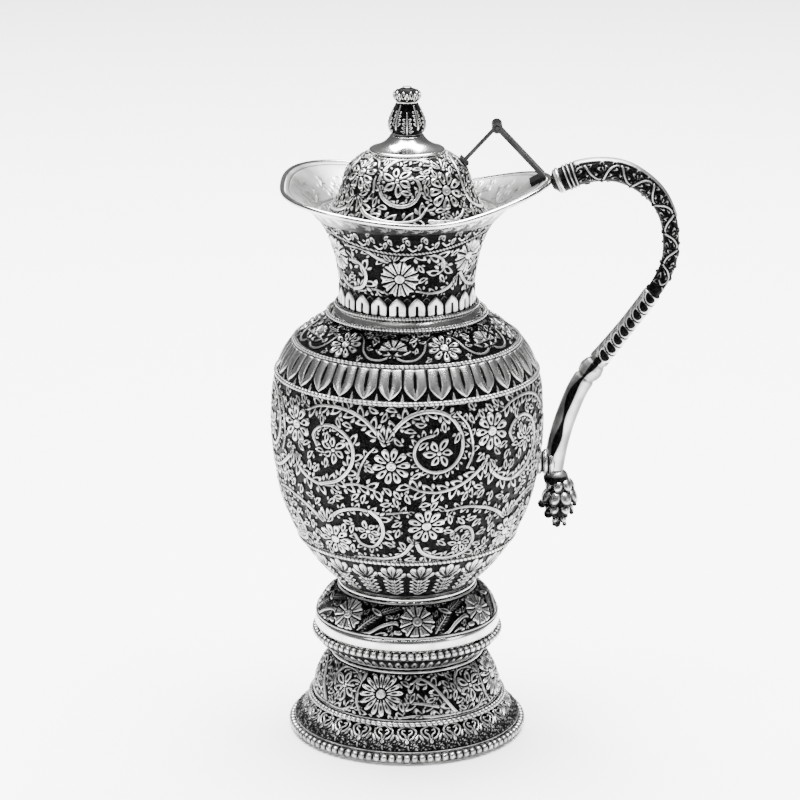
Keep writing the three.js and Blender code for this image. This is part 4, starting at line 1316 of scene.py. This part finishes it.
wire_profile = np.array([(10 + math.cos(a), math.sin(a)) for a in
                         np.linspace(0, 2 * math.pi, 12, endpoint=False)]) * 10
edge_wire = spun("brim_edge", wire_profile, 480)
co = coordinates(edge_wire) / MM
angle = np.arctan2(co[:, 1], co[:, 0])
edge, rise = brim_edge(angle)
out = edge - 1.3 + 0.13 * (np.hypot(co[:, 0], co[:, 1]) - 100)
level = mouth_level + 0.9 + rise + 0.13 * co[:, 2]
move_to(edge_wire, np.column_stack([out * np.cos(angle), out * np.sin(angle), level]) * MM)
edge_wire.attributes.remove(edge_wire.attributes["along"])
piece("brim_edge", edge_wire, polished_silver, "pitcher", "polished_silver", "brim_edge_wire")

# %% [markdown]
# The handle is a hollow tube. It is chased while still straight and bent afterwards, so
# here too it is first turned as a straight tube, chased, and then bent along its line.
# The line is the frame's own: points given as a share of the height and a distance out.

# %% Line of the handle
heel, heel_rise = brim_edge(np.array([0.0]))
handle_top = np.array([float(heel[0]) + 0.9 + 3.2 + 0.3, mouth_level + float(heel_rise[0]) + 0.4])
foot_level = 136.0
body_side = np.interp(foot_level, body_outline[:, 1], body_outline[:, 0])
handle_foot = np.array([float(body_side) + 7.9, foot_level])
handle_route = [(1.000, 0), (1.024, 9), (1.034, 19), (1.027, 29), (0.996, 38.5), (0.945, 47),
                (0.875, 52.5), (0.800, 54.5), (0.725, 54.0), (0.660, 50.5), (0.590, 44),
                (0.455, 29.5), (0.310, 13.5), (0.200, 6.5), (0.100, 2.4), (0.000, 0)]
handle_line = spline([handle_foot + share * (handle_top - handle_foot) + (out, 0)
                      for share, out in handle_route], 0.3)
handle_run = distances(handle_line)
handle_length = float(handle_run[-1])
print("handle line:", round(handle_length, 1), "mm")


def handle_radius(share):
    return np.interp(share, [0, 0.16, 0.30, 0.42, 0.60, 0.75, 0.86, 1],
                     [6.5, 5.9, 4.7, 4.3, 4.0, 5.0, 4.9, 4.8])


def bend_along_handle(co):
    """Bends a straight tube about Z so that its axis follows the handle's line."""
    along = np.clip(co[:, 2], 0, handle_length)
    beyond = co[:, 2] - along
    centre = np.column_stack([np.interp(along, handle_run, handle_line[:, k]) for k in (0, 1)])
    ahead = np.column_stack([np.interp(np.minimum(along + 0.6, handle_length), handle_run,
                                       handle_line[:, k]) for k in (0, 1)])
    behind = np.column_stack([np.interp(np.maximum(along - 0.6, 0), handle_run,
                                        handle_line[:, k]) for k in (0, 1)])
    tangent = ahead - behind
    tangent /= np.hypot(*tangent.T)[:, None]
    side = np.column_stack([-tangent[:, 1], tangent[:, 0]])
    place = centre + side * co[:, :1] + tangent * beyond[:, None]
    return np.column_stack([place[:, 0], co[:, 1], place[:, 1]])

# %% [markdown]
# The upper half of the handle is engraved with leaf scrolls on both sides and has a plain
# bright streak along its back, a painted highlight, while the engraving beside it is
# painted a shade darker. Further down come ribs, each with dark hollows, then a collar,
# and a plain length whose soft light and dark streaks running down it are painted
# reflections.

# %% Handle
ribs_from, ribs_to, collar_at = 0.50, 0.70, 0.735


def handle_sheet():
    width = 2 * math.pi * 5.2
    sheet = Sheet(width, handle_length, lambda y: width / (2 * math.pi * handle_radius(
        y / handle_length)), cell=0.16)
    leaves_to = ribs_from * handle_length
    side = 1
    for y in np.arange(9, leaves_to - 7, 8.4):
        for x in (width * 0.25, width * 0.75):
            path = [(x - side * 3.4, y - 5), (x + side * 1.0, y - 2.2), (x + side * 3.2, y + 1.6),
                    (x + side * 0.8, y + 4.6), (x - side * 2.0, y + 3.0)]
            line = spline(path, 0.25)
            leafy(sheet, line, 1.9, 4.4, 1.0, 0.6, width=0.5, bend=0.6)
            stem(sheet, line, 1.3, 0.9, groove=0, moat=0.3)
        side = -side
    for y in np.arange(3, 8, 2.0):
        border_line(sheet, y, 1.1, 0.2)
    fill_ground(sheet, 60, size=3.2, bare=0.4, seed=51)
    cols, rows = sheet.grid()
    turn = np.abs(cols / width - 0.5) + 0 * rows
    # The streak along the back is a plain band at full tone, a painted highlight; the rest of the
    # tube is painted a third darker as shade.
    painted_highlight_streak = (turn < 0.1) & (rows > 8) & (rows < leaves_to * 0.62)
    sheet.rise = np.where(painted_highlight_streak, 0.6, sheet.rise)
    sheet.tone = np.where(painted_highlight_streak, 1.0, sheet.tone * 0.66)
    joints = ((rows + 7 * (turn - 0.2) ** 2 * 10) % 5.2) / 5.2
    well = ((joints - 0.56) / 0.36) ** 2 + ((turn - 0.25) / 0.11) ** 2 < 1
    ribbed = (rows > leaves_to) & (rows < ribs_to * handle_length)
    rib_tone = np.where(well, 0.05, np.clip((joints - 0.1) * 9, 0.1, 1))
    rib_tone = np.where(turn > 0.36, 1, rib_tone)
    sheet.rise = np.where(ribbed, np.where(well, 0.45, 0.8) - 0.3 * (joints < 0.12), sheet.rise)
    sheet.tone = np.where(ribbed, rib_tone, sheet.tone)
    plain = rows >= ribs_to * handle_length
    # The plain length gets painted reflections: light and dark bands round the tube, and a dark wavy
    # line down it.
    wave = 0.3 + 0.02 * np.sin(rows * 0.16)
    dark = np.clip((0.05 + 0.02 * np.sin(rows * 0.27) - np.abs(turn - wave)) * 40, 0, 1)
    sheet.rise = np.where(plain, 0.8, sheet.rise)
    painted_reflection_bands = 0.66 + 0.2 * np.cos(2 * math.pi * (turn * 4 + 0.1)) + 0.04 * np.sin(rows * 0.35)
    sheet.tone = np.where(plain, np.clip(painted_reflection_bands, 0, 1) * (1 - dark), sheet.tone)
    return sheet


def handle_swell(share):
    """The collar two thirds of the way down, a swelling between two grooves."""
    d = (share - collar_at) * handle_length
    return 0.8 * np.exp(-(d / 2.4) ** 2) - 0.7 * np.exp(-((np.abs(d) - 4.6) / 0.9) ** 2)


def make_handle():
    down = np.linspace(0, handle_length, int(handle_length / 0.42))
    outer = np.column_stack([handle_radius(down / handle_length), down])
    inner = np.column_stack([handle_radius(down[::12] / handle_length) - 1.4, down[::12]])[::-1]
    marks = np.r_[down, -np.ones(len(inner))]
    mesh = spun("handle", np.vstack([outer, inner]), 84, along=marks)
    wrap_chasing(mesh, handle_sheet(), 1, -math.pi, sink=0.45)
    co = coordinates(mesh) / MM
    r = np.hypot(co[:, 0], co[:, 1])
    outside = r > handle_radius(co[:, 2] / handle_length) - 0.9
    swell = np.where(outside, handle_swell(co[:, 2] / handle_length), 0)
    co[:, :2] *= ((r + swell) / r)[:, None]
    move_to(mesh, bend_along_handle(co) * MM)
    return piece("handle", mesh, chased_silver, "pitcher", "chased_silver", "handle_tube")


make_handle()

# %% [markdown]
# The tube ends in a socket that narrows towards the brim. At its foot a ringed boss joins
# it to the body, and a cast flower hangs below: four rings of rounded petals with a small
# knob at each tip, and two berries beside them.

# %% Socket, boss and flower
def along_line(profile, steps, place, direction, name):
    """A turned piece whose axis starts at place and points along direction."""
    mesh = spun(name, np.array(profile), steps)
    turn = Vector((0, 0, 1)).rotation_difference(Vector(direction).normalized()).to_matrix()
    mesh.transform(turn.to_4x4())
    mesh.transform(Matrix.Translation(Vector(place) * MM))
    mesh.update()
    return mesh


def ringed(length, radius, rings, depth=0.5, end=0.7):
    """Outline of a plug with turned rings along it."""
    z = np.linspace(0, length, rings * 8 + 1)
    r = radius - depth * np.abs(np.cos(z / length * math.pi * rings)) ** 4
    r[0] = r[-1] = radius - end
    return np.vstack([[(0, 0)], np.column_stack([r, z]), [(0, length)]])


def tone_from_radius(mesh, place, direction, low, high):
    co = coordinates(mesh) / MM - np.array(place)
    d = np.array(direction) / np.linalg.norm(direction)
    r = np.linalg.norm(co - np.outer(co @ d, d), axis=1)
    give_tone(mesh, np.clip((r - low) / (high - low), 0, 1))


into_brim = handle_line[0] - handle_line[12]
start = np.array([handle_top[0], 0, handle_top[1]])
axis = (into_brim[0], 0, into_brim[1])
socket_outline = [(0, 0), (6.2, 0), (6.7, 0.5), (6.7, 1.1), (6.0, 1.5), (6.3, 2.1), (5.2, 3.1),
                  (3.9, 3.9), (2.9, 5.0), (0, 5.4)]
socket = along_line(socket_outline, 72, start, axis, "handle_socket")
tone_from_radius(socket, start, axis, 5.6, 6.6)
piece("handle_socket", socket, chased_silver, "pitcher", "chased_silver", "handle_root_socket")

low, high = mm_box("handle_lower_boss")
boss_level = (low[2] + high[2]) / 2
boss_reach = high[0] - low[0]
boss = along_line(ringed(boss_reach + 1.4, 6.5, 3, 1.3, 1.2), 72,
                  (low[0] - 0.2, 0, boss_level), (1, 0, 0), "handle_boss")
tone_from_radius(boss, (0, 0, boss_level), (1, 0, 0), 5.2, 6.2)
piece("handle_boss", boss, chased_silver, "pitcher", "chased_silver", "handle_lower_boss")


def blob(bm, place, size, turn):
    """A ball stretched to size in mm, turned and put in its place."""
    made = bmesh.ops.create_uvsphere(bm, u_segments=14, v_segments=10, radius=1)
    bmesh.ops.scale(bm, verts=made["verts"], vec=Vector(size) * MM)
    bmesh.ops.rotate(bm, verts=made["verts"], matrix=turn)
    bmesh.ops.translate(bm, verts=made["verts"], vec=Vector(place) * MM)
    return made["verts"]


def make_terminal():
    bm = bmesh.new()
    tone = bm.verts.layers.float.new("tone")
    x, z = handle_foot

    def petal(place, size, yaw, pitch):
        turn = Matrix.Rotation(yaw, 3, "Z") @ Matrix.Rotation(pitch, 3, "Y")
        verts = blob(bm, place, size, turn)
        back = turn.inverted()
        for v in verts:
            local = back @ (v.co / MM - Vector(place))
            # Each blob is bright on its upper side and black on its lower side: painted shade.
            v[tone] = min(max((local.z / size[2] - 0.15) * 1.7, 0), 1)

    petal((x + 1.5, 0, z - 5), (6.4, 6.2, 5.2), 0, 0)
    for ring, (level, reach, size, count) in enumerate(((-8, 5.2, 3.4, 7), (-14, 6.8, 3.9, 8),
                                                        (-20, 4.9, 3.3, 6), (-26, 2.4, 2.6, 4))):
        for k in range(count):
            a = 2 * math.pi * (k + 0.5 * (ring % 2)) / count
            place = (x + 3.4 + reach * math.cos(a), reach * math.sin(a), z + level)
            petal(place, (size, size * 0.8, size * 0.55), a, math.radians(58))
            knob = (place[0] + 1.2 * math.cos(a), place[1] + 1.2 * math.sin(a), place[2] - size)
            petal(knob, (1.15, 1.15, 1.15), 0, 0)
    petal((x + 3.4, 0, z - 16), (6.2, 6.2, 10.5), 0, 0)
    petal((x + 2.4, 0, z - 28.5), (1.9, 1.9, 2.8), 0, 0)
    for place, r in (((-5.2, 0, -18.7), 2.3), ((-2.0, 0, -24), 2.4)):
        petal((x + place[0], place[1], z + place[2]), (r, r, r), 0, 0)
        petal((x + place[0] + 2.2, place[1], z + place[2] + 1.5), (2.6, 1.2, 1.2), 0, -0.5)
    bmesh.ops.recalc_face_normals(bm, faces=bm.faces)
    mesh = mesh_from(bm, "handle_flower")
    return piece("handle_flower", mesh, chased_silver, "pitcher", "chased_silver",
                 "handle_terminal")


make_terminal()

# %% [markdown]
# The finial is a cast bud: leaves stand round a swelling foot and close to a neck, and a
# small crown of leaves tops it. It is turned plain first and the leaves are chased on.

# %% Finial
low, high = mm_box("finial")
finial_top = high[2]
finial_foot = finial_top - 23.5
finial_curve = spline(np.array([(5.3, 0), (7.0, 0.7), (8.6, 2.4), (9.2, 4.8), (8.8, 7.4),
                                (7.7, 10.2), (6.5, 12.6), (5.4, 14.8), (5.0, 16.0), (5.8, 17.2),
                                (6.7, 18.6), (6.3, 20.6), (4.4, 22.5), (2.0, 23.2), (0.0, 23.5)])
                      + (0, finial_foot), 0.25)


def finial_sheet():
    run = length_of(finial_curve)
    width = 2 * math.pi * 6.6 / 5
    sheet = Sheet(width, run, stretch_of(finial_curve, 5, width), cell=0.1)
    middle = width / 2
    for x, foot, tall, wide in ((middle, 1.4, 12.5, 5.2), (0, 5.4, 13.0, 4.4)):
        for side in (1, -1):
            for k in range(4):
                leaf(sheet, x + side * 0.25, foot + 1.0 + 2.1 * k, math.pi / 2 - side * 0.8,
                     wide * 0.72 - 0.25 * k, 1.7, bend=side * 0.5, slot=0.3, moat=0.2)
        stem(sheet, spline([(x, foot), (x, foot + tall / 2), (x, foot + tall)], 0.3), 1.1, 0.8,
             groove=0.25, moat=0.2)
    for k in range(2):
        x = middle * k
        leaf(sheet, x, 19.4, math.pi / 2, 4.6, 2.9, slot=0.3, moat=0.25, fat=1.5)
        leaf(sheet, x + middle / 2, 21.0, math.pi / 2, 4.4, 2.2, slot=0.3, moat=0.2)
    border_line(sheet, 18.9, 1.2, 0.2)
    border_line(sheet, 0.9, 1.4, 0.2)
    rows = sheet.grid()[1] + np.zeros((1, sheet.cols))
    tip = soft(rows - run + 2.4)
    sheet.add(tip * 0.7, tip)
    return sheet


def make_finial():
    outer, along = evened(finial_curve, 0.22)
    stud = [(0, finial_foot - 10), (2.0, finial_foot - 10), (2.0, finial_foot - 0.2)]
    marks = np.r_[-1, -1, -1, along]
    marks[-1] = -1
    mesh = spun("finial_bud", np.vstack([stud, outer]), 192, along=marks)
    wrap_chasing(mesh, finial_sheet(), 5, math.radians(-126), sink=0.5)
    return piece("finial_bud", mesh, chased_silver, "lid", "chased_silver", "finial")


make_finial()

# %% [markdown]
# The lid turns on a barrel hinge that stands high over the heel: two knuckles on a post
# from the brim, one on an arm from the lid, and a pin through all three. The frame's
# straps are kept, since they are already the real shape, and are given silver painted
# nearly black, a painted shade for the dark reflections they show, as are the bezel, the
# washer and the nut of the lid. The plate of the foot is left matte.

# %% Hinge and hidden pieces
# Painted shade: this silver is coloured nearly black to stand for the dark reflections of the
# straps.
shade_painted_silver = silver("shade-painted silver", 0.03, (0.22, 0.36), bump=0.1, stain=0.6)
for name in ("hinge_post", "hinge_pin", "lid_arm", "lid_arm_pad", "lid_bezel", "finial_washer",
             "finial_nut", "base_plate"):
    node = frame["nodes"][name]
    finish = matte_silver if name == "base_plate" else shade_painted_silver
    node.data.materials.clear()
    node.data.materials.append(finish)

# %% [markdown]
# Last, a small helper that turns the corners of a box into plain numbers.

# %% Sizes and finish
def plain(box):
    return [[float(v) for v in corner] for corner in box]
